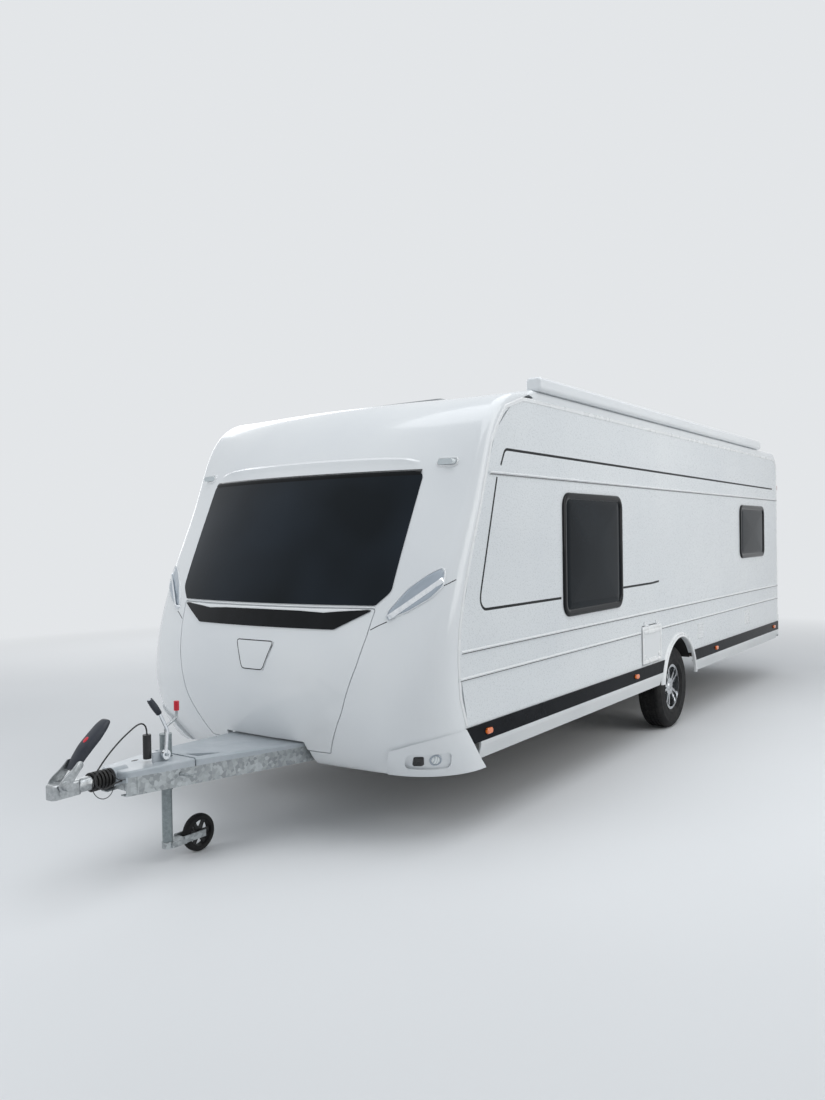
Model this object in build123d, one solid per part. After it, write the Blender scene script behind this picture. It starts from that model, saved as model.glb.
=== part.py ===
from build123d import *
import os
from math import atan2, cos, hypot, pi, radians, sin, tan

# Travel caravan on one axle. All sizes are millimetres.
# X runs forward from the wheel axis, Y to the vehicle's left and Z up from the ground.

# Body shell
HALF_WIDTH = 1160.0
SIDE_WALL = 34.0
SHELL = 30.0
SHELL_SEAT = 40.0
ROOF_EDGE_Z = 2537.0
FLOOR_TOP = 604.0
FLOOR_THICK = 44.0
SKIRT_TOP = 528.0
SKIRT_BOTTOM = 428.0
BAND_TOP = 625.0
BAND_PROUD = 7.0
ROOF_FRONT_X = 2600.0
BULKHEAD_X = ROOF_FRONT_X + 590.0
PANEL_GAP = 6.0
SEAT_GAP = 0.3
LID_THICK = 12.0
LOCKER_FLANGE = 20.0
STRIP_PROUD = 7.0
PANE_LIFT = 6.0
LID_NOTCH_Z = 525.0
NOTCH_Y = 330.0
LOCKER_FLOOR = 545.0
PANE_PROUD = 16.0
PANE_LAP = 10.0
PANE_ROUND = 9.0
ROOFLIGHT_RIM = 25.0
WHEEL_BOX_Y = 845.0
ARCH_PROUD = 22.0
BUMPER_BOTTOM = 375.0
SIDE_LAMP_X = (3204.0, 991.0, -1019.0, -3196.0)
CASSETTE_X = (-2590.0, ROOF_FRONT_X - 40.0)

# Running gear
TYRE_RADIUS = 347.0
TYRE_WIDTH = 205.0
TYRE_OUTER_Y = 1113.0
RIM_RADIUS = 192.0
ARCH_RADIUS = 402.0
ARCH_CENTRE_Z = 380.0
ARCH_TRIM = 38.0
MAIN_RAIL_Y = 550.0
MAIN_RAIL_DEPTH = 120.0
DRAWBAR_RAIL_DEPTH = 90.0
RAIL_FLANGE = 45.0
RAIL_GAUGE = 5.0
RAIL_REAR_X = -3250.0
AXLE_TUBE_X = 165.0
AXLE_TUBE_Z = 385.0
AXLE_TUBE_RADIUS = 55.0
STUB_RADIUS = 30.0
RUNNING_FIT = 0.08
RIM_INSET = 22.0
SPOKE_SET = 32.0
SPOKE_PAIRS = 5
SPOKE_SPREAD = 11.0
ARM_Y = 800.0
DRUM_RADIUS = 125.0
DRUM_Y = (872.0, 945.0)
CROSS_MEMBERS = (-3200.0, -1700.0, 1300.0, 2200.0)
STEADY_X = (-2900.0, 2900.0)
STEADY_Y = 760.0
STEADY_Z = 488.0
STEADY_HALF = 30.0
STEADY_PIN = 8.0
STEADY_PLATE = 7.0
STEADY_REACH = 410.0

# Drawbar fittings
DRAWBAR_BACK = (2300.0, MAIN_RAIL_Y, 485.0)
DRAWBAR_KNEE = (3700.0, 300.0, 443.0)
DRAWBAR_FRONT = (4830.0, 100.0, 478.0)
HOUSING_X = (4600.0, 4835.0)
COUPLING_Z = 520.0
COUPLING_NOSE_X = 5180.0
COUPLING_BACK = 4965.0
COUPLING_BOTTOM = 488.0
BELLOWS_FOLDS = 6
BALL_RADIUS = 25.0
BALL_X = 5118.0
BALL_DEEP = 22.0
JOCKEY_X = 4510.0
JOCKEY_TUBE_RADIUS = 31.0
JOCKEY_WHEEL_RADIUS = 100.0
JOCKEY_TRAIL = 205.0
JOCKEY_TOP = 662.0
JOCKEY_OUTER_BOTTOM = 380.0
JOCKEY_INNER_TOP = 450.0
CLAMP_LEVER = ((JOCKEY_X + 36, 60.0, 488.0), (JOCKEY_X + 28, 250.0, 488.0))
CLAMP_LEVER_RADIUS = 8.0
COVER_SEAM_X = 4455.0
COVER_TOP = 553.0
COVER_BACK_X = 3700.0
COVER_BACK_TOP = 505.0
COVER_POCKET = ((4420.0, 40.0), (4420.0, 140.0), (4270.0, 150.0))
HANDBRAKE_PIVOT = (4575.0, 80.0, 585.0)
HANDBRAKE_PIN = 8.0
STABILISER_PIVOT = (5125.0, 0.0, 548.0)
STABILISER_PIN = 9.0

PLUG_AT = (4643.0, 20.0, 692.0)
PLUG_RADIUS = 21.0
CABLE_RADIUS = 4.0
BREAKAWAY_RADIUS = 2.0
CABLE_POINTS = (
    (4643.0, 20.0, 692.0),
    (4643.0, 20.0, 728.0),
    (4672.0, 24.0, 756.0),
    (4713.0, 30.0, 752.0),
    (4760.0, 38.0, 731.0),
    (4808.0, 43.0, 706.0),
    (4856.0, 44.0, 671.0),
    (4899.0, 46.0, 636.0),
    (4940.0, 54.0, 602.0),
    (4975.0, 62.0, 570.0),
    (4980.0, 66.0, 526.0),
    (4950.0, 69.0, 492.0),
    (4907.0, 71.0, 491.0),
    (4870.0, 72.0, 510.0),
    (4835.0, 72.0, 510.0),
)
BREAKAWAY_POINTS = (
    (4835.0, 100.0, 520.0),
    (4867.0, 100.0, 520.0),
    (4899.0, 98.0, 552.0),
    (4934.0, 96.0, 592.0),
    (4975.0, 95.0, 590.0),
    (5008.0, 94.0, 560.0),
    (5016.0, 93.0, 518.0),
    (4996.0, 91.0, 476.0),
    (4956.0, 89.0, 450.0),
    (4914.0, 87.0, 456.0),
    (4891.0, 86.0, 488.0),
    (4888.0, 85.0, 520.0),
)

# Rear shell
REAR_EDGE_X = -3400.0
REAR_CORNER = 190.0
REAR_CROWN = 95.0
REAR_CORNER_PLAN = 60.0
REAR_BOTTOM = 470.0
BUMPER_PROUD = 42.0
REAR_BUMPER_TOP = 700.0
REAR_BUMPER_BOTTOM = 440.0
REAR_LAMP_Z = 580.0
REAR_LAMP_RADIUS = 46.0
REAR_LAMP_Y = (1010.0, 895.0, 780.0)
BOX_MIDDLE_X = (COUPLING_NOSE_X + REAR_EDGE_X - REAR_CROWN - BUMPER_PROUD) / 2

# Stations round the body, each a crosswise bow that stands on the side walls' edge.
# Columns: edge x, edge z, way the bow points in degrees (0 forward, 90 up, 180 back), crown, corner radius
FRONT_STATIONS = (
    (ROOF_FRONT_X + 662.0, BUMPER_BOTTOM, 0.0, 420.0, 376.0),
    (ROOF_FRONT_X + 832.0, 620.0, 0.0, 415.0, 350.0),
    (ROOF_FRONT_X + 911.0, 960.0, 0.0, 370.0, 255.0),
    (ROOF_FRONT_X + 897.0, 1167.0, 0.0, 340.0, 190.0),
    (ROOF_FRONT_X + 763.0, 1593.0, 0.0, 320.0, 120.0),
    (ROOF_FRONT_X + 591.0, 2038.0, 0.0, 270.0, 78.0),
    (ROOF_FRONT_X + 485.0, ROOF_EDGE_Z - 247.0, 35.0, 145.0, 58.0),
    (ROOF_FRONT_X + 290.0, ROOF_EDGE_Z - 75.0, 66.0, 62.0, 42.0),
    (ROOF_FRONT_X, ROOF_EDGE_Z, 90.0, 30.0, 24.0),
)
ROOF_REAR_X = REAR_EDGE_X + REAR_CORNER
REAR_STEPS = 4
REAR_STATIONS = tuple(
    (
        ROOF_REAR_X + REAR_CORNER * cos(radians(90 + 90 * step / REAR_STEPS)),
        ROOF_EDGE_Z - REAR_CORNER + REAR_CORNER * sin(radians(90 + 90 * step / REAR_STEPS)),
        90.0 + 90.0 * step / REAR_STEPS,
        FRONT_STATIONS[-1][3] + (REAR_CROWN - FRONT_STATIONS[-1][3]) * step / REAR_STEPS,
        FRONT_STATIONS[-1][4] + (REAR_CORNER_PLAN - FRONT_STATIONS[-1][4]) * step / REAR_STEPS,
    )
    for step in range(REAR_STEPS + 1)
)
REAR_TOP = ROOF_EDGE_Z - REAR_CORNER

# Outside hinges of the door and the hatch
PANEL_PROUD = 6.0
HINGE_OUT = 8.0
HINGE_RADIUS = 7.0
HINGE_PIN = 4.0
HINGE_REACH = 34.0
DOOR_HINGE_Z = (800.0, 1493.0, 2130.0)
HATCH_HINGE_X = (530.0, 780.0)

# Openings in the side walls. Columns: rear x, front x, bottom z, top z, corner radius
LEFT_WINDOWS = (
    (1250.0, 2215.0, 1136.0, 1935.0, 85.0),
    (-2789.0, -1874.0, 1405.0, 1935.0, 75.0),
)
RIGHT_WINDOWS = (
    (1900.0, 2865.0, 1136.0, 1935.0, 85.0),
    (-1330.0, -330.0, 1405.0, 1935.0, 75.0),
    (-2789.0, -1874.0, 1405.0, 1935.0, 75.0),
)
DOOR = (870.0, 1530.0, 636.0, 2350.0, 60.0)
DOOR_WINDOW = (1010.0, 1390.0, 1400.0, 1935.0, 60.0)
SERVICE_HATCH = (444.0, 866.0, 636.0, 946.0, 25.0)
WALL_VENTS = (
    (-653.0, -493.0, 708.0, 849.0, 14.0),
    (-2217.0, -2017.0, 705.0, 850.0, 14.0),
)
# Rear window. Columns: right y, left y, bottom z, top z, corner radius
REAR_WINDOW = (-480.0, 480.0, 1440.0, 1880.0, 80.0)
# Rooflights. Columns: name, middle x, middle y, length, width
ROOFLIGHTS = (
    ("front", 1900.0, 0.0, 960.0, 655.0),
    ("middle", -300.0, 0.0, 440.0, 440.0),
    ("rear", -2350.0, 0.0, 440.0, 440.0),
)
# Side rails. Columns: z, front x
SIDE_RAILS = (
    (1040.0, ROOF_FRONT_X + 886.0),
    (894.0, ROOF_FRONT_X + 900.0),
    (2027.0, ROOF_FRONT_X + 550.0),
)

# Front lower corners: outline seen from ahead in y and z, outline seen from the side in x ahead of
# ROOF_FRONT_X and z, and the lamp recess's middle and size
HANDLE_BLADE = (30.0, 12.0)
BUMPER_PROUD_FRONT = 16.0
CORNER_FRONT = (
    (795.0, BUMPER_BOTTOM),
    (880.0, 532.0),
    (1000.0, 572.0),
    (HALF_WIDTH + 40, BAND_TOP + 8),
    (HALF_WIDTH + 40, BUMPER_BOTTOM),
)
CORNER_SIDE = ((636.0, BUMPER_BOTTOM), (838.0, BAND_TOP + 1), (1400.0, BAND_TOP + 1), (1400.0, BUMPER_BOTTOM))
CORNER_RECESS_AT = (1000.0, 1022.0, 477.0)
CORNER_RECESS = (250.0, 100.0)

# Front pieces, each outline given as (y, z, corner radius) for its left half, from the top middle down
WINDOW_HALF = ((853.0, 2044.0, 45.0), (838.0, 1375.0, 60.0), (764.0, 1300.0, 20.0))
LID_HALF = (
    (765.0, 1280.0, 10.0),
    (744.0, 1140.0, 200.0),
    (708.0, 984.0, 300.0),
    (622.0, 730.0, 300.0),
    (474.0, 474.0, 14.0),
    (318.0, 474.0, 8.0),
    (312.0, LID_NOTCH_Z, 8.0),
)
STRIP_HALF = ((756.0, 1276.0, 4.0), (542.0, 1168.0, 24.0))
FLAP_HALF = ((150.0, 1092.0, 12.0), (84.0, 922.0, 12.0))


def bow_edges(crown, corner, lift, half=HALF_WIDTH):
    """Crosswise bow from the left end to the right: corner arc, wide arc, corner arc."""
    inner = half - corner
    wide = (inner**2 + crown**2 - corner**2) / (2 * (crown - corner))
    run = hypot(inner, wide - crown)
    joint_y = inner + corner * inner / run
    joint_n = corner * (wide - crown) / run
    angle = atan2(joint_n, joint_y - inner) / 2
    middle = (inner + corner * cos(angle), corner * sin(angle) + lift)
    joint = (joint_y, joint_n + lift)
    left = ThreePointArc((half, lift), middle, joint)
    top = ThreePointArc(joint, (0, crown + lift), (-joint[0], joint[1]))
    right = ThreePointArc((-joint[0], joint[1]), (-middle[0], middle[1]), (-half, lift))
    return [left, top, right]


def station_plane(station):
    """Plane across the body at a station, its local y pointing out of the body."""
    x, z, way = station[0], station[1], radians(station[2])
    return Plane(origin=(x, 0, z), x_dir=(0, 1, 0), z_dir=(sin(way), 0, -cos(way)))


def bow_face(station, lift=0.0, depth=SHELL):
    """Closed section of a bowed wall: outside raised by lift, inside depth below the edge."""
    crown, corner = station[3], station[4]
    seat = HALF_WIDTH - SHELL_SEAT
    edges = bow_edges(crown, corner, lift)
    edges += [
        Line((-HALF_WIDTH, lift), (-HALF_WIDTH, -depth)),
        Line((-HALF_WIDTH, -depth), (-seat, -depth)),
        ThreePointArc((-seat, -depth), (0, crown - depth), (seat, -depth)),
        Line((seat, -depth), (HALF_WIDTH, -depth)),
        Line((HALF_WIDTH, -depth), (HALF_WIDTH, lift)),
    ]
    return station_plane(station) * make_face(Curve() + edges)


def skin_face(station, low, high):
    """Closed section of a sheet that follows the outside, between two lifts."""
    crown, corner = station[3], station[4]
    edges = bow_edges(crown, corner, low) + bow_edges(crown, corner, high)
    edges += [Line((side * HALF_WIDTH, low), (side * HALF_WIDTH, high)) for side in (1, -1)]
    return station_plane(station) * make_face(Curve() + edges)


def bowed_wall(stations, lift=0.0, depth=SHELL):
    return loft([bow_face(station, lift, depth) for station in stations])


def edge_point(station, inset):
    way = radians(station[2])
    return (station[0] - inset * cos(way), station[1] - inset * sin(way))


def mirrored(half):
    """Closed outline from its left half, corners rounded by each row's radius."""
    left = [(y, z) for y, z, _ in half]
    right = [(-y, z) for y, z, _ in reversed(half)]
    radii = [r for _, _, r in half]
    return make_face(FilletPolyline(*left, *right, radius=radii + radii[::-1], close=True))


def front_prism(half, grow=0.0):
    """Block along X whose section is a front outline, from inside the body to past the bow."""
    outline = mirrored(half)
    if grow:
        outline = offset(outline, grow)
    return extrude(Plane.YZ.offset(BULKHEAD_X - 200) * outline, 1200)


def wall_block(box, y_from, y_to, grow=0.0):
    """Rounded rectangle in X and Z, given as an openings row, extruded across the wall."""
    x0, x1, z0, z1, corner = box
    width, height = x1 - x0 + 2 * grow, z1 - z0 + 2 * grow
    face = RectangleRounded(width, height, corner + grow)
    plane = Plane(origin=((x0 + x1) / 2, y_from, (z0 + z1) / 2), x_dir=(1, 0, 0), z_dir=(0, 1, 0))
    return extrude(plane * face, y_to - y_from)


def box(x0, x1, y0, y1, z0, z1):
    """Block between two corners."""
    return Pos((x0 + x1) / 2, (y0 + y1) / 2, (z0 + z1) / 2) * Box(x1 - x0, y1 - y0, z1 - z0)


def rod(start, end, radius):
    """Round bar between two points."""
    path = Vector(*end) - Vector(*start)
    return extrude(Plane(origin=start, z_dir=path) * Circle(radius), path.length)


def bent_bar(points, bend, radius):
    """Round bar along a route with rounded corners."""
    path = FilletPolyline(*points, radius=bend)
    start = Vector(*points[0])
    return sweep(Plane(origin=start, z_dir=Vector(*points[1]) - start) * Circle(radius), path=path)


def across(x, z, y_from, y_to, radius):
    """Round bar along Y."""
    return rod((x, y_from, z), (x, y_to, z), radius)


def both_sides(shape):
    """The shape and its mirror image on the other side of the vehicle."""
    return [shape, mirror(shape, Plane.XZ)]


def joined(solids):
    """One solid from pieces that touch or overlap."""
    first, *rest = solids
    return first.fuse(*rest) if rest else first


def loose(shapes):
    """Several solids kept apart in one node."""
    parts = []
    for shape in shapes:
        parts += shape.solids()
    return Compound(children=parts)


def largest(shape):
    """The main solid of a cut, without the crumbs beside it."""
    return shape.solids().sort_by(SortBy.VOLUME)[-1]


def foremost(shape):
    """The solid of a cut that reaches furthest forward."""
    return max(shape.solids(), key=lambda solid: solid.bounding_box().max.X)


def side_plate(points, y_from, y_to):
    """Closed outline in X and Z extruded from one y to another."""
    face = make_face(Polyline(*points, close=True))
    plane = Plane(origin=(0, y_to, 0), x_dir=(1, 0, 0), z_dir=(0, -1, 0))
    return extrude(plane * face, y_to - y_from)


def front_skin(low, high):
    """Sheet that follows the whole front between two lifts."""
    return loft([skin_face(station, low, high) for station in FRONT_STATIONS])


def front_pieces():
    """Front shell with its window hole and locker recess, and the pieces that fill them."""
    whole = bowed_wall(FRONT_STATIONS)
    window_hole = front_prism(WINDOW_HALF)
    recess = front_skin(-LID_THICK - SEAT_GAP, 5.0) & front_prism(LID_HALF, PANEL_GAP)
    notch = box(BULKHEAD_X, 4000, -NOTCH_Y, NOTCH_Y, 300, LID_NOTCH_Z - PANEL_GAP)
    shell = whole - window_hole - recess - front_prism(LID_HALF, -LOCKER_FLANGE) - notch
    window = bowed_wall(FRONT_STATIONS, lift=PANE_LIFT, depth=SHELL - PANE_LIFT) & window_hole
    lid = front_skin(-LID_THICK, 0.0) & front_prism(LID_HALF)
    raised = front_skin(0.0, STRIP_PROUD)
    strip = (raised & front_prism(STRIP_HALF)) - lid
    flap = raised & front_prism(FLAP_HALF)
    return whole, largest(shell), window, joined([lid, flap]), strip


def rear_pieces():
    """Rear shell: a rounded top above a straight drop, with its window and moulded lamp carrier."""
    top = bowed_wall(REAR_STATIONS)
    last = REAR_STATIONS[-1]
    drop = extrude(bow_face(last), amount=REAR_TOP - REAR_BOTTOM, dir=(0, 0, -1))
    whole = joined([top, drop])
    y0, y1, z0, z1, corner = REAR_WINDOW
    face = Rot(0, 0, 90) * RectangleRounded(y1 - y0, z1 - z0, corner)
    face = Plane(origin=(-3700, 0, (z0 + z1) / 2), x_dir=(0, 0, 1), z_dir=(1, 0, 0)) * face
    hole = extrude(face, 500)
    window = extrude(bow_face(last, lift=10.0), amount=REAR_TOP - REAR_BOTTOM, dir=(0, 0, -1)) & hole
    low = (last[0], REAR_BUMPER_TOP) + last[2:]
    band = extrude(skin_face(low, 0.0, BUMPER_PROUD), amount=REAR_BUMPER_TOP - REAR_BUMPER_BOTTOM, dir=(0, 0, -1))
    band = fillet(band.edges().filter_by(GeomType.CIRCLE).sort_by(Axis.X)[:2], 16)
    lens_skin = extrude(
        skin_face(low, BUMPER_PROUD, BUMPER_PROUD + 9), amount=REAR_BUMPER_TOP - REAR_BUMPER_BOTTOM, dir=(0, 0, -1)
    )
    lamps = []
    for y in REAR_LAMP_Y:
        for side in (1, -1):
            lamps.append(rod((-3700, side * y, REAR_LAMP_Z), (-3300, side * y, REAR_LAMP_Z), REAR_LAMP_RADIUS) & lens_skin)
    x, z = REAR_EDGE_X - 38, 2172.0
    marker = wall_block((x - 16, x + 16, z - 26, z + 26, 10.0), HALF_WIDTH - 60, HALF_WIDTH - 4)
    for side in both_sides(largest(marker - whole)):
        lamps.append(side)
    return whole, whole - hole, window, band, lamps


def side_wall(side, shells, openings):
    """Side wall between the shells, open at its windows, doors and wheel arch."""
    inset = SHELL - 3
    front = [p for p in (edge_point(s, inset) for s in FRONT_STATIONS) if p[1] > FLOOR_TOP]
    rear = [edge_point(s, inset) for s in REAR_STATIONS]
    start = (edge_at(FRONT_STATIONS, FLOOR_TOP, inset), FLOOR_TOP)
    end = (REAR_EDGE_X + inset, FLOOR_TOP)
    y_from = HALF_WIDTH - SIDE_WALL if side > 0 else -HALF_WIDTH
    wall = side_plate([start, *front, *rear, end], y_from, y_from + SIDE_WALL)
    for shell in shells:
        wall = wall - shell
    wall = largest(wall)
    for row in openings:
        wall = wall - wall_block(row, y_from - 5, y_from + SIDE_WALL + 5)
    return largest(wall - arch_block(y_from - 5, y_from + SIDE_WALL + 5, ARCH_RADIUS))


def edge_at(stations, z, inset):
    """X of the side edge, moved in by inset, where it passes height z."""
    points = sorted((edge_point(station, inset) for station in stations), key=lambda p: p[1])
    for (x0, z0), (x1, z1) in zip(points, points[1:]):
        if z0 <= z <= z1:
            return x0 + (x1 - x0) * (z - z0) / (z1 - z0)
    return points[0][0]


def arch_block(y_from, y_to, radius):
    """Wheel arch: half a disc above straight sides that run down past the skirt."""
    bottom = SKIRT_BOTTOM - 40
    top = Pos(0, ARCH_CENTRE_Z) * (Circle(radius) & Pos(0, radius / 2) * Rectangle(2 * radius, radius))
    legs = Pos(0, (ARCH_CENTRE_Z + bottom) / 2) * Rectangle(2 * radius, ARCH_CENTRE_Z - bottom + 0.02)
    face = top + legs if ARCH_CENTRE_Z > bottom else top
    plane = Plane(origin=(0, y_to, 0), x_dir=(1, 0, 0), z_dir=(0, -1, 0))
    return extrude(plane * face, y_to - y_from)


def window_unit(row, side):
    """Hinged side window: a plug that fills the wall's hole and a crowned pane outside it."""
    plug = wall_block(row, HALF_WIDTH - SIDE_WALL, HALF_WIDTH)
    pane = wall_block(row, HALF_WIDTH, HALF_WIDTH + PANE_PROUD, grow=PANE_LAP)
    pane = fillet(pane.edges().group_by(Axis.Y)[-1], PANE_ROUND)
    unit = joined([plug, pane])
    return unit if side > 0 else mirror(unit, Plane.XZ)


def hinge(plane):
    """Hinge on a plane at its axis: z along the pin, x toward the fixed leaf, y into the wall."""
    barrel = Cylinder(HINGE_RADIUS, 2 * HINGE_REACH)
    fixed_leaf = box(0, 30, 3, HINGE_OUT, -HINGE_REACH, HINGE_REACH)
    fixed = joined([barrel, fixed_leaf]) - Cylinder(HINGE_RADIUS + 0.5, HINGE_REACH + 6)
    fixed = joined([fixed, Cylinder(HINGE_PIN, 2 * HINGE_REACH)])
    moving_leaf = box(-25, 0, -3, HINGE_OUT - PANEL_PROUD, -HINGE_REACH / 2 - 2, HINGE_REACH / 2 + 2)
    moving = joined([Cylinder(HINGE_RADIUS, HINGE_REACH + 4), moving_leaf])
    moving = moving - Cylinder(HINGE_PIN + RUNNING_FIT, 2 * HINGE_REACH)
    room = Cylinder(HINGE_RADIUS + 0.6, 2 * HINGE_REACH + 4)
    return [plane * piece for piece in (fixed, moving, room)]


def hung(panel, planes):
    """Panel with its moving hinge halves, and the fixed halves."""
    fixed = []
    for plane in planes:
        fixed_half, moving_half, room = hinge(plane)
        panel = joined([panel - room, moving_half])
        fixed.append(fixed_half)
    return panel, fixed


def door_pieces():
    """Entrance door, its window, the service hatch, the wall vents and the fixed hinge halves."""
    inner, face, axis_y = HALF_WIDTH - SIDE_WALL, HALF_WIDTH + PANEL_PROUD, HALF_WIDTH + HINGE_OUT
    panel = wall_block(DOOR, inner, face) - wall_block(DOOR_WINDOW, inner - 5, face + 5)
    planes = [
        Plane(origin=(DOOR[1] + PANEL_GAP / 2, -axis_y, z), x_dir=(1, 0, 0), z_dir=(0, 0, 1)) for z in DOOR_HINGE_Z
    ]
    panel, fixed = hung(mirror(panel, Plane.XZ), planes)
    pane = mirror(wall_block(DOOR_WINDOW, inner, face + 6), Plane.XZ)
    hatch = wall_block(SERVICE_HATCH, inner, face, grow=-PANEL_GAP)
    hinge_z = SERVICE_HATCH[3] - PANEL_GAP / 2
    planes = [Plane(origin=(x, axis_y, hinge_z), x_dir=(0, 0, 1), z_dir=(1, 0, 0)) for x in HATCH_HINGE_X]
    hatch, more = hung(hatch, planes)
    vents = [wall_block(row, inner, face) for row in WALL_VENTS]
    return panel, pane, hatch, vents, fixed + more


def roof_pieces():
    """Roof panel with its rooflight holes, and each rooflight's frame and lid."""
    roof = extrude(bow_face(FRONT_STATIONS[-1]), amount=ROOF_FRONT_X - ROOF_REAR_X, dir=(-1, 0, 0))
    crown_z = ROOF_EDGE_Z + FRONT_STATIONS[-1][3]
    panel, fittings = roof, []
    for name, x, y, length, width in ROOFLIGHTS:
        half_l, half_w = length / 2, width / 2
        hole = box(x - half_l, x + half_l, y - half_w, y + half_w, 2400, 2700)
        panel = panel - hole
        rim = ROOFLIGHT_RIM
        frame = box(x - half_l - rim, x + half_l + rim, y - half_w - rim, y + half_w + rim, ROOF_EDGE_Z, crown_z + 14)
        frame = (frame - hole - roof).solids().sort_by(Axis.Z)[-1]
        lid = Pos(x, y, crown_z + 14 + SEAT_GAP + 20) * Box(length + 30, width + 30, 40)
        lid = fillet(lid.edges().filter_by(Axis.Z), 40)
        lid = fillet(lid.faces().sort_by(Axis.Z)[-1].edges(), 18)
        fittings.append((name, frame, lid))
    return roof, panel, fittings


def locker_tub(whole):
    """Gas locker's bulkhead and floor, fitted to the inside of the front shell."""
    reach = HALF_WIDTH - 80
    bulkhead = box(BULKHEAD_X, BULKHEAD_X + 24, -reach, reach, LOCKER_FLOOR, 1262)
    base = box(BULKHEAD_X, 3800, -800, 800, LOCKER_FLOOR, LOCKER_FLOOR + 20)
    return largest(joined([bulkhead, base]) - whole)


def wheel_box():
    """Left wheel box: a round cover over the tyre, closed on its inner side."""
    outer = arch_block(WHEEL_BOX_Y, HALF_WIDTH - SIDE_WALL, ARCH_RADIUS + 8)
    inner = arch_block(WHEEL_BOX_Y + 8, HALF_WIDTH + 5, ARCH_RADIUS)
    below = box(-600, 600, 800, 1200, 0, FLOOR_TOP - FLOOR_THICK)
    return largest(outer - inner - below)


def floor_panel(shells):
    """Floor between the shells, open at both wheel boxes."""
    reach = REAR_EDGE_X - REAR_CROWN
    floor = box(reach, BULKHEAD_X, -HALF_WIDTH, HALF_WIDTH, FLOOR_TOP - FLOOR_THICK, FLOOR_TOP)
    for shell in shells:
        floor = largest(floor - shell)
    well = box(-ARCH_RADIUS - 8, ARCH_RADIUS + 8, WHEEL_BOX_Y, HALF_WIDTH + 5, 500, 700)
    return floor - well - mirror(well, Plane.XZ)


def trim_pieces(whole, wall):
    """Black bands, skirts, arch trims, front lower corners and side rails of both sides."""
    front_x = edge_at(FRONT_STATIONS, BAND_TOP, 0)
    low_x = edge_at(FRONT_STATIONS, SKIRT_TOP, 0)
    corner = front_bumper_corner(whole, wall)
    hole = arch_block(HALF_WIDTH - 60, HALF_WIDTH + 60, ARCH_RADIUS + ARCH_TRIM)
    band = side_plate(
        [(REAR_EDGE_X, BAND_TOP), (front_x, BAND_TOP), (low_x, SKIRT_TOP), (REAR_EDGE_X, SKIRT_TOP)],
        HALF_WIDTH,
        HALF_WIDTH + BAND_PROUD,
    )
    section = make_face(
        Polyline(
            (HALF_WIDTH - 30, SKIRT_TOP),
            (HALF_WIDTH + BAND_PROUD, SKIRT_TOP),
            (HALF_WIDTH + BAND_PROUD, SKIRT_TOP - 25),
            (HALF_WIDTH - 14, SKIRT_BOTTOM),
            (HALF_WIDTH - 34, SKIRT_BOTTOM),
            (HALF_WIDTH - 34, SKIRT_BOTTOM + 8),
            (HALF_WIDTH - 22, SKIRT_BOTTOM + 8),
            (HALF_WIDTH - 6, SKIRT_TOP - 30),
            (HALF_WIDTH - 6, SKIRT_TOP - 8),
            (HALF_WIDTH - 30, SKIRT_TOP - 8),
            close=True,
        )
    )
    skirt_front = edge_at(FRONT_STATIONS, SKIRT_BOTTOM, 0) - 12
    skirt = extrude(Plane.YZ.offset(REAR_EDGE_X + SHELL) * section, skirt_front - REAR_EDGE_X - SHELL)
    ring = arch_block(HALF_WIDTH, HALF_WIDTH + ARCH_PROUD, ARCH_RADIUS + ARCH_TRIM)
    ring = ring - arch_block(HALF_WIDTH - 1, HALF_WIDTH + ARCH_PROUD + 1, ARCH_RADIUS - 6)
    ring = ring - box(-700, 700, 1000, 1300, 0, SKIRT_BOTTOM)
    rails = [box(REAR_EDGE_X, x, HALF_WIDTH, HALF_WIDTH + 5, z - 9, z + 9) for z, x in SIDE_RAILS]
    hatch_gap = wall_block(SERVICE_HATCH, HALF_WIDTH - 5, HALF_WIDTH + 20, grow=12)
    door_gap = wall_block(DOOR, HALF_WIDTH - 5, HALF_WIDTH + 20, grow=20)
    left = [rail - hatch_gap for rail in rails]
    right = [mirror(rail - door_gap, Plane.XZ) for rail in rails]
    bands = both_sides(band - hole - corner)
    skirts = both_sides(skirt - hole - corner - whole)
    return bands, skirts, both_sides(ring), both_sides(corner), left + right


def front_bumper_corner(whole, wall):
    """Left lower corner of the front: a skin that stands proud of the shell, open at its lamp recess."""
    half = HALF_WIDTH + BAND_PROUD
    faces = []
    for row in FRONT_STATIONS[:4]:
        edges = bow_edges(row[3] + BUMPER_PROUD_FRONT, row[4] + BUMPER_PROUD_FRONT, 0, half)
        edges.append(Polyline((-half, 0), (-half, -SHELL), (half, -SHELL), (half, 0)))
        faces.append(station_plane(row) * make_face(Curve() + edges))
    front = make_face(Polyline(*CORNER_FRONT, close=True))
    front = extrude(Plane.YZ.offset(ROOF_FRONT_X) * front, 2000)
    side = side_plate([(ROOF_FRONT_X + x, z) for x, z in CORNER_SIDE], 0, half + 20)
    block = loft(faces) & front & side
    x, y, z = CORNER_RECESS_AT
    plane = Plane(origin=(ROOF_FRONT_X + x, y, z), x_dir=(-0.71, 0.71, 0), z_dir=(0.71, 0.71, -0.3))
    recess = extrude(plane * RectangleRounded(*CORNER_RECESS, 30), 90, both=True)
    return foremost(block - whole - wall - recess)


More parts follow.
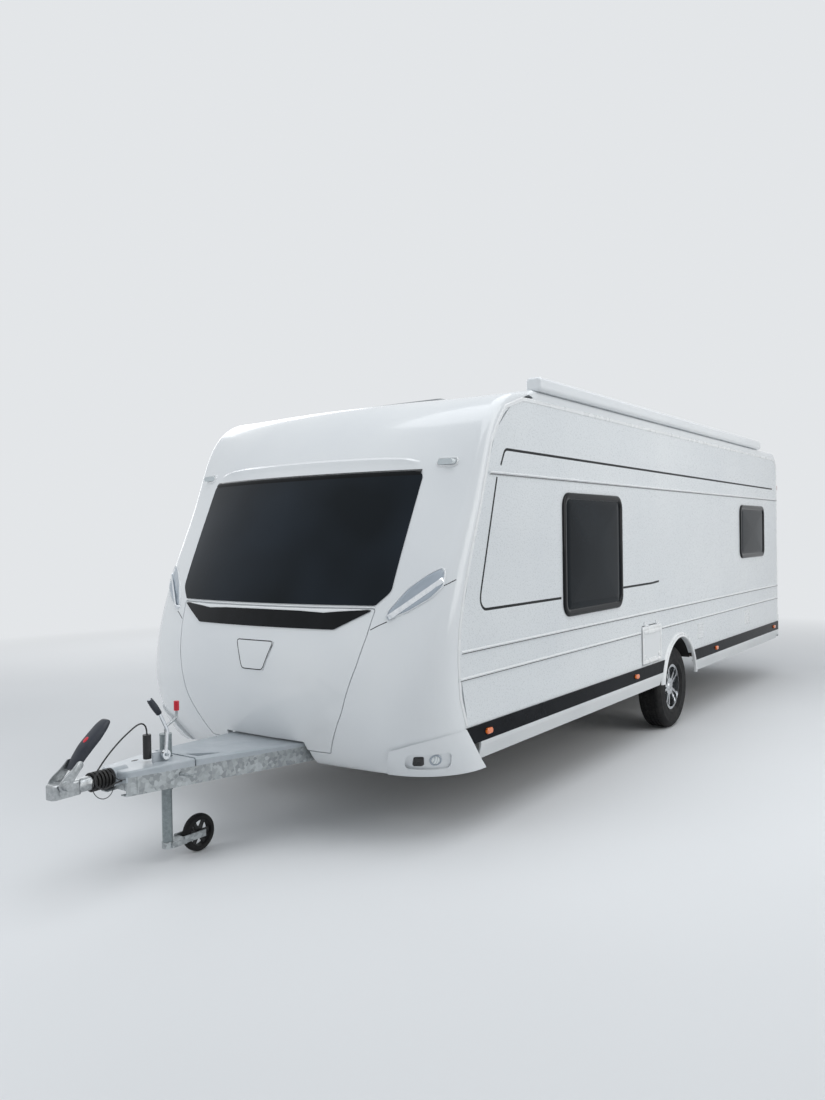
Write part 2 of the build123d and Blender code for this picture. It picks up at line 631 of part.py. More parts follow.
def lamps(whole):
    """Amber side lamps, and clear lamps high on the front corners."""
    ambers = []
    for x in SIDE_LAMP_X:
        lamp = wall_block((x - 32, x + 32, 558.0, 592.0, 16.0), HALF_WIDTH + BAND_PROUD, HALF_WIDTH + BAND_PROUD + 14)
        ambers += both_sides(fillet(lamp.edges().group_by(Axis.Y)[-1], 6))
    place = (ROOF_FRONT_X + 640, HALF_WIDTH - 187, 2090)
    clear = Plane(origin=place, x_dir=(0, 1, 0), z_dir=(1, 0, 0)) * RectangleRounded(100, 32, 15)
    clear = foremost(extrude(clear, 74) - whole)
    return ambers, both_sides(clear)


def grab_handle(whole):
    """Left front grab handle: a bent blade with both ends in the shell."""
    low = Vector(ROOF_FRONT_X + 1121, HALF_WIDTH - 302, 1236)
    high = Vector(ROOF_FRONT_X + 946, HALF_WIDTH - 54, 1440)
    inward = Vector(-0.8, -0.6, 0) * 75
    path = FilletPolyline(low + inward, low, high, high + inward, radius=24)
    start = Plane(origin=low + inward, x_dir=inward.cross(high - low), z_dir=-inward)
    return foremost(sweep(start * RectangleRounded(*HANDLE_BLADE, 5), path=path) - whole)


def wheel(side):
    """Tyre and five-spoke rim of one side."""
    middle = TYRE_OUTER_Y - TYRE_WIDTH / 2
    half = TYRE_WIDTH / 2
    outline = FilletPolyline(
        (RIM_RADIUS, -half + 18),
        (RIM_RADIUS + 45, -half),
        (TYRE_RADIUS - 45, -half),
        (TYRE_RADIUS, -half + 30),
        (TYRE_RADIUS, half - 30),
        (TYRE_RADIUS - 45, half),
        (RIM_RADIUS + 45, half),
        (RIM_RADIUS, half - 18),
        radius=[2, 25, 25, 16, 16, 25, 25, 2],
        close=True,
    )
    tyre = revolve(Plane.YZ * Rot(0, 0, 90) * make_face(outline), Axis.Y)
    width = TYRE_WIDTH - 2 * RIM_INSET
    barrel = Cylinder(RIM_RADIUS, width) - Cylinder(RIM_RADIUS - 14, width)
    lip = Pos(0, 0, width / 2 - 4) * (Cylinder(RIM_RADIUS, 8) - Cylinder(RIM_RADIUS - 22, 8))
    face_z = width / 2 - SPOKE_SET
    hub = Pos(0, 0, face_z - 10) * Cylinder(72, 44)
    spokes = []
    for index in range(SPOKE_PAIRS):
        for lean in (-SPOKE_SPREAD, SPOKE_SPREAD):
            spoke = Pos(RIM_RADIUS / 2 + 22, 0, face_z) * Box(RIM_RADIUS - 52, 22, 26)
            spokes.append(Rot(0, 0, index * 360 / SPOKE_PAIRS + lean) * spoke)
    bore = Pos(0, 0, face_z - 32) * Cylinder(STUB_RADIUS + RUNNING_FIT, 44)
    rim = Rot(-90, 0, 0) * (joined([barrel, lip, hub, *spokes]) - bore)
    place = Pos(0, middle, TYRE_RADIUS)
    pieces = [place * tyre, place * rim]
    return pieces if side > 0 else [mirror(piece, Plane.XZ) for piece in pieces]


def running_gear():
    """Axle tube with trailing arms, drums and stubs, hung from the main rails."""
    pieces = [across(AXLE_TUBE_X, AXLE_TUBE_Z, -ARM_Y, ARM_Y, AXLE_TUBE_RADIUS)]
    bore_end = TYRE_OUTER_Y - RIM_INSET - SPOKE_SET - 11
    for side in (1, -1):
        y = side * ARM_Y
        pieces.append(across(AXLE_TUBE_X, AXLE_TUBE_Z, y, y + side * 40, 50))
        arm = side_plate(
            [
                (AXLE_TUBE_X + 20, AXLE_TUBE_Z + 42),
                (0, TYRE_RADIUS + 36),
                (-34, TYRE_RADIUS),
                (0, TYRE_RADIUS - 36),
                (AXLE_TUBE_X + 20, AXLE_TUBE_Z - 42),
            ],
            min(y, y + side * 40),
            max(y, y + side * 40),
        )
        pieces.append(arm)
        pieces.append(across(0, TYRE_RADIUS, y, side * DRUM_Y[0], 40))
        pieces.append(across(0, TYRE_RADIUS, side * DRUM_Y[0], side * DRUM_Y[1], DRUM_RADIUS))
        pieces.append(across(0, TYRE_RADIUS, side * DRUM_Y[1], side * bore_end, STUB_RADIUS))
        rail_y = side * (MAIN_RAIL_Y - RAIL_FLANGE / 2)
        under = FLOOR_TOP - FLOOR_THICK - MAIN_RAIL_DEPTH
        pieces.append(box(AXLE_TUBE_X - 70, AXLE_TUBE_X + 70, rail_y - 20, rail_y + 20, AXLE_TUBE_Z, under))
    return joined(pieces)


def channel(start, end, depth, side):
    """Open channel rail between two points, its web outside and its flanges inward."""
    half = depth / 2
    points = [
        (0, -half),
        (RAIL_FLANGE, -half),
        (RAIL_FLANGE, -half + RAIL_GAUGE),
        (RAIL_GAUGE, -half + RAIL_GAUGE),
        (RAIL_GAUGE, half - RAIL_GAUGE),
        (RAIL_FLANGE, half - RAIL_GAUGE),
        (RAIL_FLANGE, half),
        (0, half),
    ]
    section = make_face(Polyline(*[(-side * y, z) for y, z in points], close=True))
    plane = Plane(origin=(start[0], side * start[1], start[2]), x_dir=(0, 1, 0), z_dir=(1, 0, 0))
    step = Vector(end[0] - start[0], side * (end[1] - start[1]), end[2] - start[2])
    return extrude(plane * section, dir=step, amount=step.length)


def chassis():
    """Main rails, the drawbar's two rails, cross members and the steadies' brackets."""
    under = FLOOR_TOP - FLOOR_THICK
    main_z = under - MAIN_RAIL_DEPTH / 2
    solids = []
    for side in (1, -1):
        start, end = (DRAWBAR_BACK[0] + 40, MAIN_RAIL_Y, main_z), (RAIL_REAR_X, MAIN_RAIL_Y, main_z)
        solids.append(channel(start, end, MAIN_RAIL_DEPTH, side))
        solids.append(channel(DRAWBAR_BACK, DRAWBAR_KNEE, DRAWBAR_RAIL_DEPTH, side))
        solids.append(channel(DRAWBAR_KNEE, DRAWBAR_FRONT, DRAWBAR_RAIL_DEPTH, side))
    for x in CROSS_MEMBERS:
        solids.append(box(x - 25, x + 25, -MAIN_RAIL_Y + 2, MAIN_RAIL_Y - 2, main_z - 40, main_z + 40))
    for x in STEADY_X:
        solids.append(box(x - 25, x + 25, -STEADY_Y - 60, STEADY_Y + 60, under - 40, under))
        solids.append(box(x - 25, x + 25, -480, 480, under - 60, under - 38))
        for side in (1, -1):
            for way in (-1, 1):
                y = side * STEADY_Y + way * (STEADY_HALF + SEAT_GAP + STEADY_PLATE / 2)
                half = STEADY_PLATE / 2
                solids.append(box(x - 25, x + 25, y - half, y + half, STEADY_Z - 20, under - 39))
            solids.append(
                across(x, STEADY_Z, side * STEADY_Y - STEADY_HALF - 6, side * STEADY_Y + STEADY_HALF + 6, STEADY_PIN)
            )
    front_x = DRAWBAR_FRONT[0]
    solids.append(box(front_x - 60, front_x - 54, -112, 112, DRAWBAR_FRONT[2] - 40, DRAWBAR_FRONT[2] + 40))
    return joined(solids) - rod(*CLAMP_LEVER, CLAMP_LEVER_RADIUS + 3)


def steady(x, side, way):
    """Corner steady: a pressed leg folded up under the floor, pointing along X by way, and its foot."""
    sleeve = across(0, 0, -STEADY_HALF, STEADY_HALF, 16)
    channel_out = box(min(0, way * STEADY_REACH), max(0, way * STEADY_REACH), -24, 24, -14, 14)
    hollow = box(min(way * 30, way * (STEADY_REACH - 20)), max(way * 30, way * (STEADY_REACH - 20)), -20, 20, -9, 20)
    foot = Pos(way * STEADY_REACH, 0, -17) * Box(90, 130, 6)
    foot = joined([foot, box(way * STEADY_REACH - 20, way * STEADY_REACH + 20, -20, 20, -15, 0)])
    pin = across(0, 0, -STEADY_HALF - 10, STEADY_HALF + 10, STEADY_PIN + RUNNING_FIT)
    leg = joined([sleeve, channel_out - hollow, foot]) - pin
    return Pos(x, side * STEADY_Y, STEADY_Z) * leg


def rail_at(x):
    """Half width over the drawbar rails and the height of their top at x, ahead of the knee."""
    way = (x - DRAWBAR_KNEE[0]) / (DRAWBAR_FRONT[0] - DRAWBAR_KNEE[0])
    half = DRAWBAR_KNEE[1] + way * (DRAWBAR_FRONT[1] - DRAWBAR_KNEE[1])
    return half, DRAWBAR_KNEE[2] + way * (DRAWBAR_FRONT[2] - DRAWBAR_KNEE[2]) + DRAWBAR_RAIL_DEPTH / 2


def housing_cover():
    """Moulded top of the overrun housing: tapered in plan, its front corners and top edge rounded."""
    x0, x1 = COVER_SEAM_X + 3, HOUSING_X[1] + 4
    (half0, z0), (half1, z1) = rail_at(x0), rail_at(x1)
    outline = FilletPolyline((x0, -half0), (x1, -half1), (x1, half1), (x0, half0), radius=[4, 42, 42, 4], close=True)
    block = extrude(Plane.XY.offset(500) * make_face(outline), COVER_TOP - 500)
    block = fillet(block.faces().sort_by(Axis.Z)[-1].edges(), 11)
    below = side_plate([(x0 - 50, 400), (x1 + 50, 400), (x1 + 50, z1 + SEAT_GAP), (x0 - 50, z0 - 1)], -400, 400)
    return block - below


def overrun(frame):
    """Overrun housing bolted on the drawbar's front, the bellows and the coupling head."""
    x0, x1 = HOUSING_X
    plug_x, plug_y, _ = PLUG_AT
    housing = joined(
        [
            box(x0, x1, -88, 88, 500, 530),
            box(x1 - 12, x1, -104, 104, 502, 527),
            housing_cover(),
            rod((x1 - 70, 0, COUPLING_Z), (x1 + 12, 0, COUPLING_Z), 46),
            box(x0 - 35, x0 + 40, 52, 64, 540, 604),
            across(HANDBRAKE_PIVOT[0], HANDBRAKE_PIVOT[2], 60, 96, HANDBRAKE_PIN),
            Pos(plug_x, plug_y, 575) * Cylinder(28, 34),
        ]
    )
    socket = Pos(plug_x, plug_y, 585) * Cylinder(PLUG_RADIUS + SEAT_GAP, 30)
    tube_hole = Pos(JOCKEY_X, 0, 560) * Cylinder(JOCKEY_TUBE_RADIUS + 3, 200)
    housing = largest(housing - frame - socket - tube_hole)
    rings = [rod((x1 + 12, 0, COUPLING_Z), (COUPLING_BACK, 0, COUPLING_Z), 34)]
    pitch = (COUPLING_BACK - x1 - 12) / BELLOWS_FOLDS
    for fold in range(BELLOWS_FOLDS):
        x = x1 + 12 + (fold + 0.5) * pitch
        rings.append(rod((x - pitch * 0.3, 0, COUPLING_Z), (x + pitch * 0.3, 0, COUPLING_Z), 46))
    shank = rod((COUPLING_BACK, 0, COUPLING_Z), (5050, 0, COUPLING_Z), 34)
    head = box(5025, COUPLING_NOSE_X, -36, 36, COUPLING_BOTTOM, 556)
    head = fillet(head.edges().filter_by(Axis.Z), 24)
    head = fillet(head.faces().sort_by(Axis.Z)[-1].edges(), 10)
    ball_z = COUPLING_BOTTOM + BALL_DEEP
    socket = Pos(BALL_X, 0, ball_z) * Sphere(BALL_RADIUS)
    mouth = rod((BALL_X, 0, COUPLING_BOTTOM - 5), (BALL_X, 0, ball_z), BALL_RADIUS)
    px, _, pz = STABILISER_PIVOT
    lobe = across(px, COUPLING_Z, -39, 39, 24)
    pivot = across(px, pz, -50, 50, STABILISER_PIN)
    knob = joined([across(px, pz, 48, 92, STABILISER_PIN), across(px, pz, 50, 92, 20)])
    coupling = joined([shank, head, lobe, pivot, knob]) - socket - mouth
    return housing, joined(rings), coupling


def stabiliser_handle():
    """Hand lever over the coupling: a moulded grip between two cheeks on the head's pivot."""
    px, _, pz = STABILISER_PIVOT
    tip = Vector(4862, 0, 806)
    axis = (tip - Vector(px, 0, pz)).normalized()
    normal = Vector(-axis.Z, 0, axis.X) * -1
    length = (tip - Vector(px, 0, pz)).length

    def point(along, out):
        p = Vector(px, 0, pz) + axis * along + normal * out
        return (p.X, p.Z)

    grip = side_plate(
        [point(95, -18), point(95, 30), point(length - 30, 26), point(length, 8), point(length - 6, -10)], -27, 27
    )
    bridge = side_plate([point(88, -14), point(88, 24), point(128, 24), point(128, -14)], -48, 48)
    cheeks = []
    for side in (1, -1):
        cheek = side_plate(
            [point(-20, -16), point(-20, 16), point(110, 24), point(110, -14)],
            side * 44 - 4,
            side * 44 + 4,
        )
        cheeks.append(cheek)
    pin = across(px, pz, -60, 60, STABILISER_PIN + RUNNING_FIT)
    return joined([grip, bridge, *cheeks]) - pin


def handbrake():
    """Cranked handbrake lever with its grip and release button."""
    px, _, pz = HANDBRAKE_PIVOT
    y = 80.0
    hub = across(px, pz, y - 8, y + 8, 24)
    points = [(px, y, pz), (4562, y, 706), (4606, y, 793), (4673, y, 882)]
    bar = bent_bar(points, 30, 9)
    grip = rod((4622, y, 814), (4667, y, 874), 14)
    pin = across(px, pz, y - 30, y + 30, HANDBRAKE_PIN + RUNNING_FIT)
    return joined([hub, bar, grip]) - pin


def drawbar_cover():
    """Moulded cover over the drawbar between the housing and the body, with a pocket in its top."""
    faces = []
    for x, top, inset, drop in ((COVER_SEAM_X - 3, COVER_TOP, 12.0, 10.0), (COVER_BACK_X, COVER_BACK_TOP, 8.0, 2.0)):
        half, z = rail_at(x)
        z += SEAT_GAP
        left = [(half, z), (half, top - drop), (half - inset, top)]
        right = [(-y, z) for y, z in reversed(left)]
        outline = Polyline(*left, *right, close=True)
        faces.append(Plane.YZ.offset(x) * make_face(outline))
    pocket = make_face(Polyline(*COVER_POCKET, close=True))
    pocket = extrude(Plane.XY.offset(COVER_TOP - 24) * pocket, 60)
    return loft(faces, ruled=True) - pocket


def clamp_outline(x0, x1):
    """Outline of a plate that reaches from one drawbar rail's web to the other between two x."""
    slope = (DRAWBAR_FRONT[1] - DRAWBAR_KNEE[1]) / (DRAWBAR_FRONT[0] - DRAWBAR_KNEE[0])
    half0, half1 = (DRAWBAR_KNEE[1] + slope * (x - DRAWBAR_KNEE[0]) - RAIL_GAUGE - SEAT_GAP for x in (x0, x1))
    return Polyline((x0, -half0), (x1, -half1), (x1, half1), (x0, half0), close=True)


def jockey():
    """Jockey wheel: clamp, outer tube, inner tube, fork, wheel and crank."""
    x = JOCKEY_X
    outer = Pos(x, 0, (JOCKEY_TOP + JOCKEY_OUTER_BOTTOM) / 2) * (
        Cylinder(JOCKEY_TUBE_RADIUS, JOCKEY_TOP - JOCKEY_OUTER_BOTTOM)
        - Cylinder(JOCKEY_TUBE_RADIUS - 4, JOCKEY_TOP - JOCKEY_OUTER_BOTTOM)
    )
    cap = Pos(x, 0, JOCKEY_TOP + 4) * Cylinder(JOCKEY_TUBE_RADIUS + 1, 8)
    clamp = extrude(Plane.XY.offset(455) * make_face(clamp_outline(x - 42, x + 42)), 40)
    clamp = clamp - Pos(x, 0, 475) * Cylinder(JOCKEY_TUBE_RADIUS, 80)
    lever = rod(*CLAMP_LEVER, CLAMP_LEVER_RADIUS)
    stud = rod((x + 36, 60, 480), (x + 36, 60, 498), 9)
    inner_radius = JOCKEY_TUBE_RADIUS - 4 - 0.5
    inner = Pos(x, 0, (JOCKEY_INNER_TOP + 110) / 2) * Cylinder(inner_radius, JOCKEY_INNER_TOP - 110)
    spigot = Pos(x, 0, 95) * Cylinder(12, 40)
    axle_x = x - JOCKEY_TRAIL
    collar = Pos(x, 0, 92.85) * Cylinder(30, 33.7)
    bridge = box(axle_x + JOCKEY_WHEEL_RADIUS + 12, x, -42, 42, 78, 108)
    arms = [box(axle_x - 16, axle_x + 130, side * 39 - 4, side * 39 + 4, 82, 118) for side in (1, -1)]
    pin = across(axle_x, JOCKEY_WHEEL_RADIUS, -44, 44, 8)
    fork = joined([collar, bridge, *arms, pin]) - Pos(x, 0, 90) * Cylinder(12 + RUNNING_FIT, 60)
    tyre = across(axle_x, JOCKEY_WHEEL_RADIUS, -29, 29, JOCKEY_WHEEL_RADIUS)
    tyre = fillet(tyre.edges(), 12) - across(axle_x, JOCKEY_WHEEL_RADIUS, -40, 40, 8 + RUNNING_FIT)
    crank = bent_bar([(x, 0, JOCKEY_TOP + 8), (x, 0, JOCKEY_TOP + 42), (4436, 0, 742), (4436, 0, 778)], 14, 7)
    knob = rod((4436, 0, 778.3), (4436, 0, 828), 14)
    return joined([outer, cap]), joined([clamp, stud, lever]), joined([inner, spigot]), fork, tyre, crank, knob


def cord(points, radius):
    """Tube along straight runs joined by tangent arcs, and its length and arc radii."""
    runs = [(Vector(*b) - Vector(*a)) for a, b in zip(points, points[1:])]
    radii = []
    for before, after in zip(runs, runs[1:]):
        half_turn = radians(before.get_angle(after)) / 2
        radii.append(0.45 * min(before.length, after.length) / tan(half_turn))
    path = FilletPolyline(*points, radius=radii)
    tube = sweep(Plane(origin=points[0], z_dir=runs[0]) * Circle(radius), path=path)
    return tube, path.length, radii


def cords():
    """Connection cable with its parked plug, and the breakaway cable's loop."""
    x, y, _ = PLUG_AT
    plug = Pos(x, y, (PLUG_AT[2] + 570.3) / 2) * Cylinder(PLUG_RADIUS, PLUG_AT[2] - 570.3)
    pieces = {"parked_plug": plug}
    for name, points, radius in (
        ("connection_cable", CABLE_POINTS, CABLE_RADIUS),
        ("breakaway_cable", BREAKAWAY_POINTS, BREAKAWAY_RADIUS),
    ):
        tube, length, radii = cord(points, radius)
        pieces[name] = tube
        print(name, "length", round(length, 1), "radii", [round(r, 1) for r in radii])
        print(name, "volume", round(tube.volume, 1), "section by length", round(length * pi * radius**2, 1))
    return pieces


def main():
    os.makedirs("parts", exist_ok=True)
    nodes = {}
    whole, shell, window, lid, strip = front_pieces()
    rear_whole, rear, rear_window, rear_bumper, rear_lamps = rear_pieces()
    roof_whole, roof, rooflights = roof_pieces()
    shells = [whole, rear_whole, roof_whole]
    nodes["front_shell"] = shell
    nodes["front_window"] = window
    nodes["gas_locker_lid"] = lid
    nodes["locker_strip"] = strip
    nodes["rear_shell"] = rear
    nodes["rear_window"] = rear_window
    nodes["rear_bumper"] = rear_bumper
    nodes["rear_lamps"] = loose(rear_lamps)
    nodes["roof_panel"] = roof
    for name, frame, roof_lid in rooflights:
        nodes["rooflight_lid_" + name] = roof_lid
    nodes["rooflight_frames"] = loose([frame for _, frame, _ in rooflights])

    door_hole = tuple(v + d for v, d in zip(DOOR, (-PANEL_GAP, PANEL_GAP, -PANEL_GAP, PANEL_GAP, PANEL_GAP)))
    nodes["side_wall_left"] = side_wall(1, shells, LEFT_WINDOWS + (SERVICE_HATCH,) + WALL_VENTS)
    nodes["side_wall_right"] = side_wall(-1, shells, RIGHT_WINDOWS + (door_hole,))
    nodes["side_windows"] = loose(
        [window_unit(row, 1) for row in LEFT_WINDOWS] + [window_unit(row, -1) for row in RIGHT_WINDOWS]
    )
    nodes["floor_panel"] = floor_panel([whole, rear_whole])
    nodes["gas_locker_tub"] = locker_tub(whole)
    nodes["wheel_boxes"] = loose(both_sides(wheel_box()))
    bands, skirts, trims, corners, rails = trim_pieces(whole, nodes["side_wall_left"])
    nodes["side_bands"] = loose(bands)
    nodes["side_skirts"] = loose(skirts)
    nodes["arch_trims"] = loose(trims)
    nodes["side_rails"] = loose(rails)
    nodes["front_bumper_corners"] = loose(corners)
    door, door_pane, hatch, vents, hinges = door_pieces()
    nodes["panel_hinges"] = loose(hinges)
    nodes["entrance_door"] = door
    nodes["door_window"] = door_pane
    nodes["service_hatch"] = hatch
    nodes["wall_vents"] = loose(vents)
    ambers, clears = lamps(whole)
    nodes["side_lamps"] = loose(ambers)
    nodes["front_lamps"] = loose(clears)
    nodes["grab_handles"] = loose(both_sides(grab_handle(whole)))
    cassette = box(*CASSETTE_X, HALF_WIDTH - 75, HALF_WIDTH + 32, ROOF_EDGE_Z + 23, ROOF_EDGE_Z + 111)
    cassette = fillet(cassette.edges().filter_by(Axis.X), 24)
    cassette = fillet(cassette.faces().sort_by(Axis.X)[-1].edges(), 20)
    nodes["awning_cassette"] = largest(cassette - roof_whole - whole)

    frame = chassis()
    nodes["chassis_frame"] = frame
    nodes["axle_assembly"] = running_gear()
    for side, name in ((1, "left"), (-1, "right")):
        tyre, rim = wheel(side)
        nodes["tyre_" + name] = tyre
        nodes["rim_" + name] = rim
        nodes["steady_front_" + name] = steady(STEADY_X[1], side, -1)
        nodes["steady_rear_" + name] = steady(STEADY_X[0], side, 1)
    nodes["overrun_housing"], nodes["overrun_bellows"], nodes["coupling_head"] = overrun(frame)
    nodes["stabiliser_handle"] = stabiliser_handle()
    nodes["handbrake_lever"] = handbrake()
    nodes["drawbar_cover"] = drawbar_cover() - frame
    outer, clamp, inner, fork, tyre, crank, knob = jockey()
    nodes["jockey_outer_tube"] = outer
    nodes["jockey_clamp"] = clamp
    nodes["jockey_inner_tube"] = inner
    nodes["jockey_fork"] = fork
    nodes["jockey_wheel"] = tyre
    nodes["jockey_crank"] = crank
    nodes["jockey_knob"] = knob

    nodes.update(cords())

    shift = Pos(-BOX_MIDDLE_X, 0, 0)
    for name, shape in nodes.items():
        export_step(shift * shape, "parts/" + name + ".step")
        print(name, len(shape.solids()))
    print("box middle", BOX_MIDDLE_X)


main()
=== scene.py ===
import logging
import math
from dataclasses import dataclass
from enum import Enum
from typing import Callable, Optional, Sequence

import bmesh
import bpy
import numpy as np
from mathutils import Matrix, Vector


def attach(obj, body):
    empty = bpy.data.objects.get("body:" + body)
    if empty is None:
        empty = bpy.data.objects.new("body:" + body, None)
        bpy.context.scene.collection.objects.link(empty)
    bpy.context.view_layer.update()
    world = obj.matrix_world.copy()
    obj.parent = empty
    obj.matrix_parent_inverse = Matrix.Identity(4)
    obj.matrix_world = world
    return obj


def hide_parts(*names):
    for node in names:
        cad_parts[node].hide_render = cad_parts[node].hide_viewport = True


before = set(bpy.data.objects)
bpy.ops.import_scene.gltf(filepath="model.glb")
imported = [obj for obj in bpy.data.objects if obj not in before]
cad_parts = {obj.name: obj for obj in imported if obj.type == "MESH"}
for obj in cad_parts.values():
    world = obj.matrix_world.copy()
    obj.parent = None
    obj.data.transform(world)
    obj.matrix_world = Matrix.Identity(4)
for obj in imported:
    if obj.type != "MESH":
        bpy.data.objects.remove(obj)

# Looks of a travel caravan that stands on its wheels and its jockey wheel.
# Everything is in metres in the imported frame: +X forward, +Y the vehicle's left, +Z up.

LOG = logging.getLogger("caravan")
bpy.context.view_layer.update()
Piece = bpy.types.Object
Socket = bpy.types.NodeSocket
Point = tuple[float, float, float]
Rgb = tuple[float, float, float]
Row = tuple[float, ...]
Rows = tuple[Row, ...]
Marks = Sequence[Sequence[float]]
AXLE_X = -0.8215
WELD = 1e-5
SHARP_DEGREES = 35.0
CORNER_STEPS = 10
BEND_STEPS = 7
FORWARD: Point = (1.0, 0.0, 0.0)
LEFTWARD: Point = (0.0, 1.0, 0.0)
UPWARD: Point = (0.0, 0.0, 1.0)


def ahead(x: float | np.ndarray) -> float | np.ndarray:
    """Place along the part of a distance ahead of the wheel axle."""
    return x + AXLE_X


class Side(Enum):
    """A side of the vehicle, with the sign of its Y."""

    LEFT = 1.0
    RIGHT = -1.0

    @property
    def tag(self) -> str:
        """The side's name as the pieces carry it."""
        return self.name.lower()

    @property
    def out(self) -> Point:
        """Unit direction out of the vehicle on this side."""
        return (0.0, self.value, 0.0)

    def marks(self, points: Marks) -> np.ndarray:
        """Front marks (y, z) given for the left side, moved to this side."""
        return np.asarray(points, float) * (self.value, 1.0)


# Surfaces worked out with numpy


def linked(name: str, data: bpy.types.ID) -> Piece:
    """New object round some data, at the origin and in the scene."""
    piece = bpy.data.objects.new(name, data)
    bpy.context.scene.collection.objects.link(piece)
    return piece


def gathered(target: bpy.types.Mesh, sources: Sequence[bpy.types.Mesh], weld: bool, outward: bool) -> None:
    """Fills a mesh with the faces of others.

    Args:
        target: the mesh that is filled.
        sources: the meshes that are copied.
        weld: merges points that lie together, such as seams and poles.
        outward: turns the faces of closed skins outward.
    """
    book = bmesh.new()
    for source in sources:
        book.from_mesh(source)
    if weld:
        bmesh.ops.remove_doubles(book, verts=book.verts, dist=WELD)
    if outward:
        bmesh.ops.recalc_face_normals(book, faces=book.faces)
    book.to_mesh(target)
    book.free()


def lattice(name: str, grid: np.ndarray, close_rows: bool = False, close_cols: bool = False,
            caps: bool = False) -> Piece:
    """Mesh over a grid of points, each joined by quads with its neighbours in both directions.

    Args:
        name: the piece's name.
        grid: points as rows x columns x 3.
        close_rows: joins the last row to the first.
        close_cols: joins the last column to the first.
        caps: closes the first and last rows with a fan round each row's mean point.

    Returns:
        The new object.
    """
    rows, cols = grid.shape[:2]
    points = grid.reshape(-1, 3)
    index = np.arange(rows * cols).reshape(rows, cols)
    if close_rows:
        index = np.vstack([index, index[:1]])
    if close_cols:
        index = np.hstack([index, index[:, :1]])
    quads = np.stack([index[:-1, :-1], index[:-1, 1:], index[1:, 1:], index[1:, :-1]], axis=-1)
    faces = quads.reshape(-1, 4).tolist()
    if caps:
        points = np.vstack([points, grid[0].mean(axis=0), grid[-1].mean(axis=0)])
        fans = ((rows * cols, index[0, 1:], index[0, :-1]), (rows * cols + 1, index[-1, :-1], index[-1, 1:]))
        for middle, one, other in fans:
            faces += np.stack([np.full(len(one), middle), one, other], axis=-1).tolist()
    mesh = bpy.data.meshes.new(name)
    mesh.from_pydata(points, [], faces)
    mesh.update()
    return linked(name, mesh)


def solid(name: str, grid: np.ndarray, close_rows: bool = False, caps: bool = False,
          sharp: float = SHARP_DEGREES) -> Piece:
    """Closed piece over a grid whose last column meets its first, smooth but for its sharp edges.

    Args:
        name: the piece's name.
        grid: points as rows x columns x 3; a row shrunk to a point becomes a pole.
        close_rows: joins the last row to the first.
        caps: closes the first and last rows.
        sharp: the angle in degrees past which an edge stays sharp.

    Returns:
        The new object, its faces outward.
    """
    piece = lattice(name, grid, close_rows, True, caps)
    gathered(piece.data, [piece.data], weld=True, outward=True)
    piece.data.shade_smooth()
    piece.data.set_sharp_from_angle(angle=math.radians(sharp))
    return piece


def merged(name: str, pieces: Sequence[Piece]) -> Piece:
    """One object from several pieces, which are removed."""
    mesh = bpy.data.meshes.new(name)
    gathered(mesh, [piece.data for piece in pieces], weld=False, outward=False)
    for piece in pieces:
        bpy.data.meshes.remove(piece.data)
    mesh.set_sharp_from_angle(angle=math.radians(SHARP_DEGREES))
    return linked(name, mesh)


def unit(vectors: np.ndarray) -> np.ndarray:
    """Vectors divided by their lengths along the last axis."""
    return vectors / np.maximum(np.linalg.norm(vectors, axis=-1, keepdims=True), 1e-12)


def full_turn(steps: int) -> np.ndarray:
    """Even angles round a full turn, without the last that meets the first."""
    return np.linspace(0, 2 * np.pi, steps, endpoint=False)


def rounded_loop(u0: float, u1: float, v0: float, v1: float, corner: float) -> tuple[np.ndarray, np.ndarray]:
    """Rounded rectangle from u0, v0 to u1, v1: at each corner, centre + corner * (cos a, sin a).

    Returns:
        Points (N x 2) and outward normals (N x 2).
    """
    right, left, high, low = u1 - corner, u0 + corner, v1 - corner, v0 + corner
    centres = np.array([(right, high), (left, high), (left, low), (right, low)])
    angles = np.radians(np.arange(4)[:, None] * 90 + np.linspace(0, 90, CORNER_STEPS)[None, :])
    normals = np.stack([np.cos(angles), np.sin(angles)], axis=-1)
    points = centres[:, None, :] + corner * normals
    return points.reshape(-1, 2), normals.reshape(-1, 2)


def on_side(points: np.ndarray, y: np.ndarray | float) -> np.ndarray:
    """Points of the X-Z plane (… x 2) set at depth y, as … x 3."""
    return np.stack([points[..., 0], np.broadcast_to(y, points.shape[:-1]), points[..., 1]], axis=-1)


def side_rim(name: str, loop: np.ndarray, normals: np.ndarray, profile: np.ndarray, side: Side) -> Piece:
    """Closed profile carried round a loop on a side wall: loop + normal * out, at y = side * profile y.

    Args:
        name: the piece's name.
        loop: points of the X-Z plane (N x 2).
        normals: outward normals of the loop (N x 2).
        profile: closed section as (out from the loop, y) rows.
        side: the side of the vehicle.

    Returns:
        The new object.
    """
    flat = loop[:, None, :] + normals[:, None, :] * profile[None, :, :1]
    return solid(name, on_side(flat, side.value * profile[None, :, 1]), close_rows=True)


